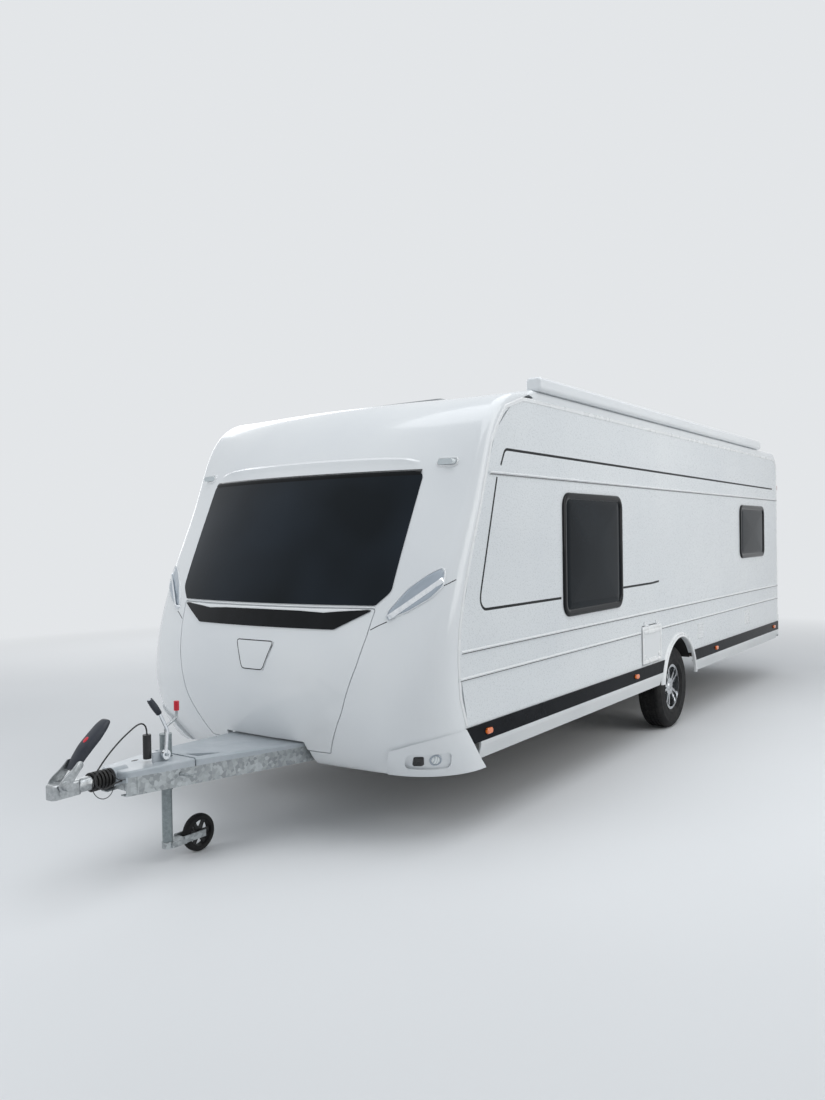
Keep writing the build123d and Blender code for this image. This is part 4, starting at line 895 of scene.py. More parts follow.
@dataclass(frozen=True)
class Front:
    """Rail, lip, bright lines, seams, handle dishes and lamp surrounds on the moulded front, as (y, z)."""

    start: float = 4.5
    rail_z: float = 2.038
    rail_half: float = 0.838
    rail_width: float = 0.034
    rail_ridge: Row = (0.0, 0.006, 0.008, 0.007, 0.003, 0.0)
    brow: Rows = ((0.0, 2.122), (0.30, 2.121), (0.565, 2.118), (0.72, 2.110), (0.81, 2.094))
    lip_way: Row = (0.0, 0.2, 0.4, 0.6, 0.8, 0.93, 1.0, 1.12, 1.3)
    lip_rise: Row = (0.0, 0.0004, 0.0016, 0.004, 0.0075, 0.011, 0.012, 0.007, 0.0)
    lip_gap: float = 0.018
    lip_end: float = 0.12
    bright: Rows = ((-0.765, 1.2905), (0.765, 1.2905))
    bright_width: float = 0.008
    bright_bead: Row = (0.0, 0.004, 0.004, 0.0)
    blade_z: float = 1.2785
    blade: Rows = ((0.0, 0.012), (0.30, 0.014), (0.46, 0.021), (0.56, 0.012), (0.735, 0.001))
    blade_rise: Row = (0.0005, 0.004, 0.0045, 0.003, 0.0)
    flap: Rows = ((0.1465, 1.0885), (0.0815, 0.9255), (-0.0815, 0.9255), (-0.1465, 1.0885))
    flap_width: float = 0.0055
    flap_film: Row = (0.0, 0.0012, 0.0012, 0.0)
    bend: float = 0.02
    dish: Rows = ((0.842, 1.236), (0.842, 1.268), (0.925, 1.388), (1.018, 1.466), (1.082, 1.502),
                  (1.100, 1.482), (1.104, 1.400), (1.058, 1.340), (0.95, 1.268), (0.865, 1.236))
    dish_rise: Row = (0.0, 0.006, 0.0065, 0.004, 0.0022, 0.0012, 0.001, 0.001, 0.001)
    rim_width: float = 0.011
    rim_ridge: Row = (0.0, 0.006, 0.008, 0.006, 0.0)
    seams: tuple[tuple[str, Rows], ...] = (
        ("low", ((0.762, 1.172), (0.805, 1.196), (0.848, 1.216))),
        ("high", ((1.104, 1.404), (1.128, 1.420), (1.146, 1.436))),
    )
    seam_width: float = 0.005
    seam_film: Row = (0.0, 0.0008, 0.0008, 0.0)
    lamp: Row = (0.973, 2.090, 0.100, 0.032)
    lamp_gap: float = 0.006
    bezel_corner: float = 0.012
    bezel_width: float = 0.013
    bezel_ridge: Row = (0.0, 0.006, 0.009, 0.006, 0.0)
    housing: Rows = ((0.955, 0.445), (0.982, 0.500), (1.028, 0.500), (1.010, 0.445))
    housing_bend: float = 0.01
    housing_rise: Row = (0.0, 0.01, 0.012, 0.012, 0.008, 0.006)
    lens: Row = (1.066, 0.478, 0.026)
    lens_way: Point = (0.71, 0.71, -0.3)

    def strip(self, skin: Skin, name: str, table: Rows, points: int, way: Sequence[float],
              rise: Sequence[float], base: float, ends: float = 0.0) -> Piece:
        """Moulding between the height base and a line that a mirrored table gives for each y.

        Args:
            skin: what it is laid on.
            name: the piece's name.
            table: (y, z) rows from the middle outward; z is the line's height.
            points: places across the front.
            way: share of the way from base to the line, for each point of the section.
            rise: height over the skin for each point of the section.
            base: the height of its first edge.
            ends: length over which the rise fades out at both ends.

        Returns:
            The new object.
        """
        half = np.array(table)
        y = np.linspace(-half[-1, 0], half[-1, 0], points)
        far = np.interp(np.abs(y), half[:, 0], half[:, 1])
        z = base + np.asarray(way)[None, :] * (far - base)[:, None]
        fade = np.clip((half[-1, 0] - np.abs(y)) / ends, 0.0, 1.0) ** 0.6 if ends else np.ones(points)
        flat = np.stack([np.broadcast_to(y[:, None], z.shape), z], axis=-1)
        return skin.moulding(name, flat, np.asarray(rise)[None, :] * fade[:, None], self.start)

    def handle(self, skin: Skin, side: Side) -> None:
        """Dish of the manoeuvring handle with its rim, and the seams that run into it. The dish is a shallow
        raised patch whose blue-grey colour is painted shade for the recess.
        """
        dish = rounded(side.marks(self.dish), self.bend)
        patch = skin.patch(f"handle_dish_{side.tag}", parted(dish, 0.01, True), self.dish_rise, self.start)
        # The dish's grey finish is painted shade standing in for the depth of the recess.
        place_piece(patch, "recess_painted_shade")
        rim_name = f"handle_dish_rim_{side.tag}"
        rim = skin.line(rim_name, dish, self.rim_width, self.rim_ridge, self.start, close=True)
        place_piece(rim, "moulded_white")
        for part, marks in self.seams:
            name = f"front_seam_{part}_{side.tag}"
            seam = skin.line(name, side.marks(marks), self.seam_width, self.seam_film, self.start)
            place_piece(seam, "seam_dark")

    def lamps(self, skin: Skin, side: Side) -> None:
        """Bezel of the high lamp, then the housing and the round lens in the bumper corner."""
        y, z, wide, high = self.lamp
        u, v = wide / 2 + self.lamp_gap, high / 2 + self.lamp_gap
        ring = side.marks(rounded_loop(y - u, y + u, z - v, z + v, self.bezel_corner)[0])
        name = f"front_lamp_bezel_{side.tag}"
        bezel = skin.line(name, ring, self.bezel_width, self.bezel_ridge, self.start, close=True)
        place_piece(bezel, "trim_white")
        housing = parted(rounded(side.marks(self.housing), self.housing_bend), 0.006, True)
        block = skin.patch(f"bumper_housing_{side.tag}", housing, self.housing_rise, self.start)
        place_piece(block, "black_plastic")
        y, z, r = self.lens
        spot = skin.lay(side.marks([(y, z)]), self.start)[0]
        out = np.array(self.lens_way) * (1.0, side.value, 1.0)
        rows = [(r + 0.008, -0.006), (r + 0.008, 0.004), (r + 0.004, 0.009), (r, 0.008), (r - 0.001, 0.004)]
        # The lens ring takes the same blue-grey painted shade as the handle dishes.
        place_piece(disc(f"bumper_lens_ring_{side.tag}", spot, out, rows), "recess_painted_shade")
        rows = [(r - 0.002, 0.0), (r - 0.002, 0.006), (r * 0.8, 0.009), (r * 0.5, 0.0115), (r * 0.2, 0.0125)]
        place_piece(disc(f"bumper_lens_{side.tag}", spot, out, rows), "clear_lens")

    def build(self) -> None:
        """Lays every piece of the front."""
        shell = Skin(["front_shell", "front_window", "front_bumper_corners"], FORWARD)
        lid = Skin(["gas_locker_lid", "locker_strip"], FORWARD)
        ends = [(-self.rail_half, self.rail_z), (self.rail_half, self.rail_z)]
        rail = shell.line("front_window_rail", ends, self.rail_width, self.rail_ridge, self.start)
        place_piece(rail, "black_gloss")
        lip = self.strip(shell, "front_brow_lip", self.brow, 97, self.lip_way, self.lip_rise,
                         self.rail_z + self.lip_gap, self.lip_end)
        place_piece(lip, "moulded_white")
        # The bright line and the lid blade take the lighter white whose extra lightness is painted highlight.
        bright = shell.line("front_bright_line", self.bright, self.bright_width, self.bright_bead, self.start)
        place_piece(bright, "bright_trim_painted_highlight")
        edge = tuple((y, self.blade_z - width) for y, width in self.blade)
        blade = self.strip(lid, "lid_bright_blade", edge, 81, np.linspace(0.0, 1.0, 5), self.blade_rise,
                           self.blade_z)
        place_piece(blade, "bright_trim_painted_highlight", "locker_lid")
        flap = lid.line("lid_flap_outline", self.flap, self.flap_width, self.flap_film, self.start,
                        self.bend, True)
        place_piece(flap, "seam_dark", "locker_lid")
        for side in Side:
            self.handle(shell, side)
            self.lamps(shell, side)
        shell.remove()
        lid.remove()


@dataclass(frozen=True)
class WallWindow:
    """Crowned pane in a rounded gloss frame: x0, x1, z0, z1 of its outline and its corner radius."""

    name: str
    side: Side
    span: Row
    proud: float = 1.176
    lap: float = 0.010
    crown: float = 0.0065
    section: Rows = ((0.0, -0.026), (0.0, -0.010), (-0.003, -0.004), (-0.010, -0.001), (-0.022, 0.0),
                     (-0.034, -0.001), (-0.043, -0.005), (-0.047, -0.010), (-0.047, -0.026))
    rings: Rows = ((0.044, -0.024), (0.044, -0.010), (0.050, -0.0075))

    def build(self) -> None:
        """Frame carried round the outline and a pane that rises towards its middle."""
        x0, x1, z0, z1, corner = self.span
        lap = self.lap
        loop, normals = rounded_loop(ahead(x0 - lap), ahead(x1 + lap), z0 - lap, z1 + lap, corner + lap)
        section = np.array(self.section) + (0.0, self.proud)
        rim = side_rim(f"{self.name}_frame", loop, normals, section, self.side)
        place_piece(rim, "black_gloss", replaces="side_windows")
        rings = np.array(self.rings) + (0.0, self.proud)
        pane = side_dome(f"{self.name}_pane", loop, normals, rings, self.crown, self.side)
        place_piece(pane, "tinted_pane", replaces="side_windows")


WALL_WINDOWS = (
    WallWindow("left_window_front", Side.LEFT, (1.250, 2.215, 1.136, 1.935, 0.085)),
    WallWindow("left_window_rear", Side.LEFT, (-2.789, -1.874, 1.405, 1.935, 0.075)),
    WallWindow("right_window_front", Side.RIGHT, (1.900, 2.865, 1.136, 1.935, 0.085)),
    WallWindow("right_window_middle", Side.RIGHT, (-1.330, -0.330, 1.405, 1.935, 0.075)),
    WallWindow("right_window_rear", Side.RIGHT, (-2.789, -1.874, 1.405, 1.935, 0.075)),
)


@dataclass(frozen=True)
class WallTrim:
    """Edge trim, rail beads and, on the left, coach lines of one side, laid on its wall as (x, z)."""

    side: Side
    rail_runs: Rows
    wall_y: float = 1.160
    front_edge: Rows = ((3.436, 0.632), (3.497, 0.792), (3.511, 1.008), (3.497, 1.167), (3.441, 1.378),
                        (3.363, 1.593), (3.273, 1.812), (3.191, 2.038), (3.131, 2.211), (3.049, 2.332),
                        (2.953, 2.435), (2.745, 2.502), (2.643, 2.524))
    inset: float = 0.016
    roof_z: float = 2.489
    roof_x: float = 2.50
    rear_x: float = -3.383
    rear_low: float = 0.632
    rear_corner: float = 0.175
    edge_width: float = 0.027
    ridges: Row = (0.0, 0.0038, 0.0052, 0.0046, 0.0040, 0.0046, 0.0052, 0.0038, 0.0)
    bead_up: float = 0.005
    bead_width: float = 0.0115
    bead: Row = (0.0, 0.0065, 0.0082, 0.0085, 0.0082, 0.0065, 0.0)
    insert_down: float = 0.0055
    insert_width: float = 0.0100
    insert: Row = (0.0, 0.0056, 0.0056, 0.0)
    film_width: float = 0.016
    film_bend: float = 0.03
    film: Row = (0.0, 0.0006, 0.0006, 0.0)
    coach_lines: tuple[tuple[str, Rows], ...] = (
        ("top", ((3.012, 2.076), (2.961, 2.172), (-2.558, 2.152), (-3.20, 2.150))),
        ("loop", ((3.058, 2.005), (3.258, 1.346), (3.262, 1.296), (3.224, 1.256), (2.250, 1.257))),
        ("rear", ((1.215, 1.267), (0.640, 1.271), (0.470, 1.279))),
    )

    def edge_path(self) -> np.ndarray:
        """Line just inside the wall's edge from its front foot over the roof to its rear foot."""
        edge = np.array(self.front_edge)
        along = unit(np.gradient(edge, axis=0))
        front = edge + self.inset * np.stack([-along[:, 1], along[:, 0]], axis=-1)
        front[:, 1] = np.minimum(front[:, 1], self.roof_z)
        corner = self.rear_corner
        a = np.linspace(0.5 * np.pi, np.pi, 12)
        centre = (self.rear_x + corner, self.roof_z - corner)
        turn = centre + corner * np.stack([np.cos(a), np.sin(a)], axis=-1)
        return np.vstack([front, [(self.roof_x, self.roof_z)], turn, [(self.rear_x, self.rear_low)]])

    def lay(self, name: str, marks: Marks, width: float, heights: Sequence[float], finish: str,
            reach: float = 0.0) -> None:
        """Places a line of (x, z) marks ahead of the axle on the wall."""
        at = np.asarray(marks, float) + (AXLE_X, 0.0)
        place_piece(Ground(self.side.out).line(name, at, width, heights, self.wall_y, reach), finish)

    def build(self) -> None:
        """Lays the trims of this side."""
        tag = self.side.tag
        self.lay(f"wall_edge_trim_{tag}", self.edge_path(), self.edge_width, self.ridges, "trim_white")
        for number, (x0, x1, z) in enumerate(self.rail_runs, start=1):
            high, low = z + self.bead_up, z - self.insert_down
            rail = [(x0, high), (x1, high)]
            # Bead in the lighter white whose extra lightness is painted highlight along its top.
            self.lay(f"wall_rail_{tag}_{number}", rail, self.bead_width, self.bead, "bright_trim_painted_highlight")
            rail = [(x0, low), (x1, low)]
            self.lay(f"wall_rail_insert_{tag}_{number}", rail, self.insert_width, self.insert, "seam_dark")
        if self.side is Side.LEFT:
            for part, marks in self.coach_lines:
                name = f"coach_line_{part}_{tag}"
                self.lay(name, marks, self.film_width, self.film, "seam_dark", self.film_bend)


WALL_TRIMS = (
    WallTrim(Side.LEFT, ((-3.39, 3.470, 1.040), (-3.39, 0.425, 0.894), (0.885, 3.485, 0.894),
                         (-3.39, 3.140, 2.027))),
    WallTrim(Side.RIGHT, ((-3.39, 0.845, 1.040), (1.555, 3.470, 1.040), (-3.39, 0.845, 0.894),
                          (1.555, 3.485, 0.894), (-3.39, 0.845, 2.027), (1.555, 3.140, 2.027))),
)


@dataclass(frozen=True)
class ServiceHatch:
    """Raised frame, hood, latches and bar on the hinged hatch in the left wall."""

    span: Row = (0.444, 0.866, 0.636, 0.946, 0.025)
    leaf_y: float = 1.166
    section: Rows = ((0.0, -0.003), (0.0, 0.004), (-0.004, 0.0075), (-0.012, 0.0085), (-0.022, 0.0075),
                     (-0.028, 0.003), (-0.030, 0.0), (-0.030, -0.003))
    latch: Rows = ((0.021, -0.002), (0.021, 0.003), (0.018, 0.006), (0.015, 0.0065), (0.014, 0.004),
                   (0.006, 0.004), (0.005, 0.0075), (0.002, 0.008))
    latch_inset: float = 0.055
    latch_up: float = 0.062
    hood_inset: float = 0.03
    hood_down: float = 0.052
    hood_size: Row = (0.030, 0.036)
    bar_inset: float = 0.13
    bar_up: float = 0.042
    bar_size: Row = (0.010, 0.012)

    def level(self, inset: float, z: float, points: int) -> np.ndarray:
        """Level line on the leaf at height z, inset from both its ends."""
        x = np.linspace(ahead(self.span[0] + inset), ahead(self.span[1] - inset), points)
        return np.stack([x, np.full(points, self.leaf_y), np.full(points, z)], axis=-1)

    def build(self) -> None:
        """Frame and hood carried round the leaf, two round latches and a bar."""
        x0, x1, z0, z1, corner = self.span
        loop, normals = rounded_loop(ahead(x0 + 0.006), ahead(x1 - 0.006), z0 + 0.008, z1 - 0.010, corner)
        section = np.array(self.section) + (0.0, self.leaf_y)
        place_piece(side_rim("hatch_frame", loop, normals, section, Side.LEFT), "trim_white", "hatch")
        swell = np.sin(np.linspace(0.25, np.pi - 0.25, 25)) ** 0.25
        top = self.level(self.hood_inset, z1 - self.hood_down, 25)
        hood = lofted("hatch_hood", top, round_profile(*self.hood_size, 20, 3.0), UPWARD, swell)
        place_piece(hood, "trim_white", "hatch")
        for number, x in enumerate((x0 + self.latch_inset, x1 - self.latch_inset), start=1):
            seat = (ahead(x), self.leaf_y, z0 + self.latch_up)
            place_piece(disc(f"hatch_latch_{number}", seat, LEFTWARD, self.latch), "trim_white", "hatch")
        foot = self.level(self.bar_inset, z0 + self.bar_up, 15)
        bar = lofted("hatch_bar", foot, round_profile(*self.bar_size, 12), UPWARD)
        place_piece(bar, "trim_white", "hatch")


@dataclass(frozen=True)
class WallVent:
    """Hooded louvre box: the front stands at face + rise * (louvre wave in z) inside a plain border."""

    name: str
    span: Row
    back: float = 1.140
    face: float = 1.158
    rise: float = 0.0075
    border: float = 0.014
    edge_share: float = 0.3
    cut_share: float = 0.85
    louvres: int = 5

    def build(self) -> None:
        """Closed box whose front is the louvred surface."""
        x0, x1, z0, z1 = self.span
        u, v = np.meshgrid(np.linspace(0.0, 1.0, 29), np.linspace(0.0, 1.0, 81), indexing="ij")
        edge = np.minimum(np.minimum(u, 1 - u) * (x1 - x0), np.minimum(v, 1 - v) * (z1 - z0))
        border = np.clip(edge / self.border, 0.0, 1.0)
        wave = ((1.0 - v) * self.louvres) % 1.0
        slope = np.clip(border / self.edge_share, 0.0, 1.0)
        y = self.face + self.rise * (1.0 - (border > 0.99) * wave * self.cut_share) * slope
        x, z = ahead(x0) + u * (x1 - x0), z0 + v * (z1 - z0)
        front = np.stack([x, y, z], axis=-1)
        rear = np.stack([x, np.full_like(x, self.back), z], axis=-1)[:, ::-1]
        box = solid(self.name, np.concatenate([front, rear], axis=1), caps=True, sharp=30.0)
        place_piece(box, "trim_white", replaces="wall_vents")


WALL_VENTS = (
    WallVent("wall_vent_middle", (-0.653, -0.493, 0.708, 0.849)),
    WallVent("wall_vent_rear", (-2.217, -2.017, 0.705, 0.850)),
)


@dataclass(frozen=True)
class WheelArch:
    """Flared double-ridged trim over the wheel: section rows (radius, y) swept over the arch."""

    side: Side
    centre_z: float = 0.380
    foot_z: float = 0.428
    rows: Rows = ((0.396, 1.156), (0.396, 1.174), (0.398, 1.180), (0.403, 1.182), (0.408, 1.179),
                  (0.411, 1.174), (0.416, 1.173), (0.421, 1.176), (0.427, 1.177), (0.433, 1.173),
                  (0.438, 1.166), (0.440, 1.160), (0.440, 1.156))

    def build(self) -> None:
        """Each row runs from the height foot_z on one side of the wheel to the same height on the other."""
        radius, depth = np.array(self.rows).T
        foot = np.arcsin((self.foot_z - self.centre_z) / radius)
        angle = foot + np.linspace(0.0, 1.0, 91)[:, None] * (np.pi - 2.0 * foot)
        y = np.broadcast_to(self.side.value * depth, angle.shape)
        grid = np.stack([AXLE_X + radius * np.cos(angle), y, self.centre_z + radius * np.sin(angle)], axis=-1)
        arch = solid(f"wheel_arch_{self.side.tag}", grid, caps=True, sharp=50.0)
        place_piece(arch, "trim_white", replaces="arch_trims")


@dataclass(frozen=True)
class Tyre:
    """Road tyre: rounded shoulders, sidewall ribs, four grooves round it and slanted cuts in its tread."""

    side: Side
    radius: float = 0.347
    half: float = 0.1025
    rim: float = 0.192
    outer_y: float = 1.113
    cuts: int = 76
    cut_depth: float = 0.0055
    cut_share: float = 0.16
    cut_slant: float = 0.18
    wall: Rows = ((0.0, 0.018), (0.010, 0.008), (0.020, 0.004), (0.022, 0.002), (0.028, 0.002),
                  (0.030, 0.003), (0.050, 0.001))
    shoulder: Rows = ((0.085, 0.0), (0.060, 0.001), (0.047, 0.003), (0.045, 0.002), (0.040, 0.003),
                      (0.030, 0.008), (0.018, 0.016), (0.008, 0.026), (0.003, 0.036))
    groove_at: Row = (0.045, 0.016, -0.016, -0.045)
    groove: Rows = ((0.0005, 0.0055), (0.0075, 0.0045), (0.0075, -0.0045), (0.0005, -0.0055))
    cap: Rows = ((0.036, -0.02), (0.036, 0.010), (0.033, 0.014), (0.026, 0.017), (0.012, 0.0185))
    cap_in: float = 0.054

    def build(self) -> None:
        """Section turned about the axle, with the cuts as a dent that depends on angle and row."""
        r, h = self.radius, self.half
        flank = [(self.rim + a, h - b) for a, b in self.wall] + [(r - a, h - b) for a, b in self.shoulder]
        tread = [(r - a, at + b) for at in self.groove_at for a, b in self.groove]
        rows = np.array(flank + tread + [(a, -b) for a, b in reversed(flank)])
        first, last = len(flank) - 2, len(flank) + len(tread) + 1

        def dent(angle: np.ndarray, row: np.ndarray) -> np.ndarray:
            """Cuts where the slanted phase of the angle falls in a narrow band."""
            slant = self.cut_slant * np.abs(row - 0.5 * (first + last))
            phase = (angle * self.cuts / (2 * np.pi) + slant) % 1.0
            inside = (row >= first) & (row <= last) & (rows[row, 0] > r - 0.006)
            return np.where(inside & (phase < self.cut_share), self.cut_depth, 0.0)

        tag, turn = self.side.tag, self.side.value
        tyre = revolved(f"road_tyre_{tag}", (AXLE_X, turn * (self.outer_y - h), r), rows, self.cuts * 7, dent)
        place_piece(tyre, "tyre_rubber", f"{tag}_wheel", f"tyre_{tag}")
        face = (AXLE_X, turn * (self.outer_y - self.cap_in), r)
        place_piece(disc(f"hub_cap_{tag}", face, self.side.out, self.cap), "alloy", f"{tag}_wheel")


@dataclass(frozen=True)
class Drawbar:
    """Stabiliser lever, coupling cheeks, brake grip and the cover's slot on the drawbar."""

    pivot: Row = (5.125, 0.548)
    lever_foot: Row = (5.000, 0.672)
    lever: Rows = ((5.060, 0.600), (5.030, 0.640), (4.985, 0.690), (4.935, 0.735), (4.892, 0.776),
                   (4.868, 0.798), (4.862, 0.804))
    lever_width: Row = (0.062, 0.072, 0.082, 0.084, 0.078, 0.062, 0.044)
    lever_depth: Row = (0.030, 0.044, 0.052, 0.050, 0.040, 0.026, 0.014)
    mark_at: int = 13
    mark: Rows = ((0.017, -0.003), (0.017, 0.001), (0.014, 0.003), (0.008, 0.0036))
    cheek: Rows = ((-0.030, 0.0), (-0.022, 0.024), (0.010, 0.032), (0.070, 0.022), (0.125, 0.020),
                   (0.135, 0.0), (0.125, -0.016), (0.070, -0.018), (0.010, -0.030), (-0.022, -0.024))
    cheek_rings: Rows = ((1e-4, 0.036), (1.0, 0.040), (1.0, 0.0455), (0.93, 0.0475), (1e-4, 0.0475))
    boss: Rows = ((0.022, -0.006), (0.022, 0.003), (0.019, 0.005), (0.012, 0.0055), (0.011, 0.001),
                  (0.003, 0.0))
    boss_y: float = 0.0455
    brake: Rows = ((4.612, 0.800), (4.640, 0.838), (4.668, 0.876))
    brake_y: float = 0.080
    brake_thick: float = 0.0295
    slot_at: Row = (4.657, -0.062)
    slot_half: Row = (0.022, 0.011)
    slot_rise: Row = (0.0, 0.0015, 0.001, 0.0006)

    def handle(self) -> None:
        """Wedge-shaped lever: a superellipse whose width and depth follow two tables along its line."""
        path = smooth_path([(ahead(x), 0.0, z) for x, z in self.lever], 33)
        t, marks = np.linspace(0.0, 1.0, 33), np.linspace(0.0, 1.0, len(self.lever_width))
        wide, deep = np.interp(t, marks, self.lever_width), np.interp(t, marks, self.lever_depth)
        across = np.array(LEFTWARD)
        lift = unit(np.cross(across, unit(np.gradient(path, axis=0))))
        ring = round_profile(1.0, 1.0, 28, 2.8)[None]
        sideways = ring[..., :1] * wide[:, None, None] * across
        grid = path[:, None, :] + sideways + ring[..., 1:] * deep[:, None, None] * lift[:, None, :]
        piece = solid("stabiliser_grip", grid, caps=True, sharp=50.0)
        place_piece(piece, "lever_plastic", "stabiliser", "stabiliser_handle")
        k = self.mark_at
        way = lift[k] * (1.0 if lift[k, 0] > 0 else -1.0)
        spot = path[k] + way * (deep[k] * 0.5 - 0.001)
        place_piece(disc("stabiliser_mark", spot, way, self.mark, 0.7), "knob_red", "stabiliser")

    def cheeks(self) -> None:
        """Two plates from the pivot to the lever: a rounded outline with a boss, thickened crosswise."""
        x, z = self.pivot
        axis = unit(np.array(self.lever_foot) - self.pivot)
        normal = np.array([-axis[1], axis[0]])
        along = np.array(self.cheek)
        outline = rounded(np.array([ahead(x), z]) + along[:, :1] * axis + along[:, 1:] * normal, 0.02)
        centre = outline.mean(axis=0)
        shrink, depth = np.array(self.cheek_rings).T[..., None]
        flat = centre + (outline[None] - centre) * shrink[..., None]
        for side in Side:
            piece = solid(f"stabiliser_cheek_{side.tag}", on_side(flat, side.value * depth))
            place_piece(piece, "coupling_metal", "stabiliser", "stabiliser_handle")
            seat = (ahead(x), side.value * self.boss_y, z)
            boss = disc(f"stabiliser_boss_{side.tag}", seat, side.out, self.boss)
            place_piece(boss, "coupling_metal", "stabiliser")

    def grip(self) -> None:
        """Sleeve on the brake lever, swelling in its middle."""
        line = smooth_path([(ahead(x), self.brake_y, z) for x, z in self.brake], 25)
        t = np.linspace(0.0, np.pi, 25)
        swell = 1.0 + 0.18 * np.sin(t) + 0.04 * np.sin(14 * t)
        section = round_profile(self.brake_thick, self.brake_thick, 20)
        sleeve = lofted("brake_grip", line, section, LEFTWARD, swell)
        place_piece(sleeve, "lever_plastic", "handbrake")

    def slot(self) -> None:
        """Oval slot in the moulded cover over the overrun gear: a dark raised patch whose colour is painted
        shade for the slot's inside.
        """
        top = Skin(["overrun_housing"], UPWARD)
        a = full_turn(40)
        middle = (ahead(self.slot_at[0]), self.slot_at[1])
        ring = middle + self.slot_half * np.stack([np.cos(a), np.sin(a)], axis=-1)
        # Dark patch: painted shade in place of the open slot.
        place_piece(top.patch("cover_slot_shade_patch", ring, self.slot_rise, 1.0), "seam_dark")
        top.remove()

    def build(self) -> None:
        """Builds every piece of the drawbar."""
        self.handle()
        self.cheeks()
        self.grip()
        self.slot()


@dataclass(frozen=True)
class Roller:
    """Jockey wheel: a rounded tyre, a dished hub and spokes between them."""

    centre: Row = (3.4835, 0.0, 0.100)
    radius: float = 0.0992
    half: float = 0.0270
    spokes: int = 6

    def build(self) -> None:
        """Tyre and hub are sections turned about the axle; each spoke runs from the hub to the rim."""
        r, h = self.radius, self.half
        a = np.linspace(-0.5 * np.pi, 0.5 * np.pi, 15)
        crown = np.stack([r - 0.016 + 0.016 * np.cos(a) ** 0.8, (h - 0.002) * np.sin(a)], axis=-1)
        half_seat = [(r - 0.026, h - 0.002), (r - 0.030, h - 0.006)]
        inside = half_seat + [(a, -b) for a, b in reversed(half_seat)]
        tyre = revolved("jockey_tyre", self.centre, np.vstack([crown, inside]), 72)
        place_piece(tyre, "tyre_rubber", "jockey_roller", "jockey_wheel")
        half_hub = [(0.0115, -h), (0.020, -h), (0.022, -h + 0.006)]
        hub = half_hub + [(a, -b) for a, b in reversed(half_hub)]
        pieces = [revolved("jockey_hub", self.centre, np.array(hub), 40)]
        t = np.linspace(0.020, r - 0.028, 9)
        swell = 1.0 + 0.35 * (2 * (t - t[0]) / (t[-1] - t[0]) - 1) ** 2
        section = round_profile(0.012, 0.024, 14, 3.0)[:, ::-1]
        for angle in full_turn(self.spokes):
            line = np.array(self.centre) + t[:, None] * (np.cos(angle), 0.0, np.sin(angle))
            pieces.append(lofted("jockey_spoke", line, section, LEFTWARD, swell))
        wheel = merged("jockey_hub_and_spokes", pieces)
        place_piece(wheel, "black_plastic", "jockey_roller", "jockey_wheel")


@dataclass(frozen=True)
class EntranceHandle:
    """Dished surround and bar of the entrance door's handle, on the door in the right wall."""

    at: Row = (0.955, 1.060)
    door_y: float = -1.166
    dish: Rows = ((0.062, -0.002), (0.062, 0.002), (0.055, 0.005), (0.046, 0.004), (0.030, 0.001),
                  (0.010, 0.0005))
    oval: float = 0.72
    bar_half: float = 0.050
    bar_bow: float = 0.006
    bar_size: Row = (0.008, 0.020)

    def build(self) -> None:
        """An oval dish and a bowed bar over it."""
        x, z = ahead(self.at[0]), self.at[1]
        dish = disc("door_handle_dish", (x, self.door_y, z), Side.RIGHT.out, self.dish, self.oval)
        place_piece(dish, "black_plastic", "door")
        t = np.linspace(-1.0, 1.0, 21)
        y = self.door_y - 0.002 - self.bar_bow * (1 - t**2)
        path = np.stack([np.full(21, x), y, z + self.bar_half * t], axis=-1)
        bar = lofted("door_handle_bar", path, round_profile(*self.bar_size), FORWARD)
        place_piece(bar, "black_gloss", "door")


# Studio


@dataclass(frozen=True)
class Lamp:
    """Square soft lamp at a place, aimed at a point of the vehicle."""

    name: str
    at: Point
    aim: Point
    size: float
    power: float
    colour: Rgb
    in_mirrors: bool = True

    def build(self) -> None:
        """Adds the lamp to the scene."""
        data = bpy.data.lights.new(self.name, "AREA")
        data.shape = "SQUARE"
        data.size, data.energy, data.color = self.size, self.power, self.colour
        lamp = linked(self.name, data)
        lamp.location = self.at
        lamp.visible_glossy = self.in_mirrors
        lamp.rotation_mode = "QUATERNION"
        lamp.rotation_quaternion = (Vector(self.aim) - Vector(self.at)).to_track_quat("-Z", "Y")


LAMPS = (
    Lamp("overhead softbox", (1.0, 2.0, 7.5), (0.0, 0.0, 0.8), 8.0, 330.0, (0.96, 0.98, 1.0)),
    Lamp("front softbox", (8.5, -2.5, 3.6), (2.0, 0.0, 1.0), 4.0, 120.0, (0.97, 0.985, 1.0), False),
    Lamp("left softbox", (-1.5, 8.5, 4.2), (-0.8, 1.0, 1.1), 6.0, 190.0, (1.0, 0.99, 0.97)),
    Lamp("right softbox", (-3.0, -8.5, 4.6), (-1.5, -1.0, 0.9), 6.0, 150.0, (0.98, 0.99, 1.0)),
)


def add_seen(tree: bpy.types.NodeTree) -> Socket:
    """Socket that is 1 for camera, mirror and transmission rays and 0 for the light on surfaces."""
    path = tree.nodes.new("ShaderNodeLightPath")
    seen = path.outputs["Is Camera Ray"]
    for ray in ("Is Glossy Ray", "Is Transmission Ray"):
        both = tree.nodes.new("ShaderNodeMath")
        both.operation = "ADD"
        both.use_clamp = True
        tree.links.new(seen, both.inputs[0])
        tree.links.new(path.outputs[ray], both.inputs[1])
        seen = both.outputs["Value"]
    return seen


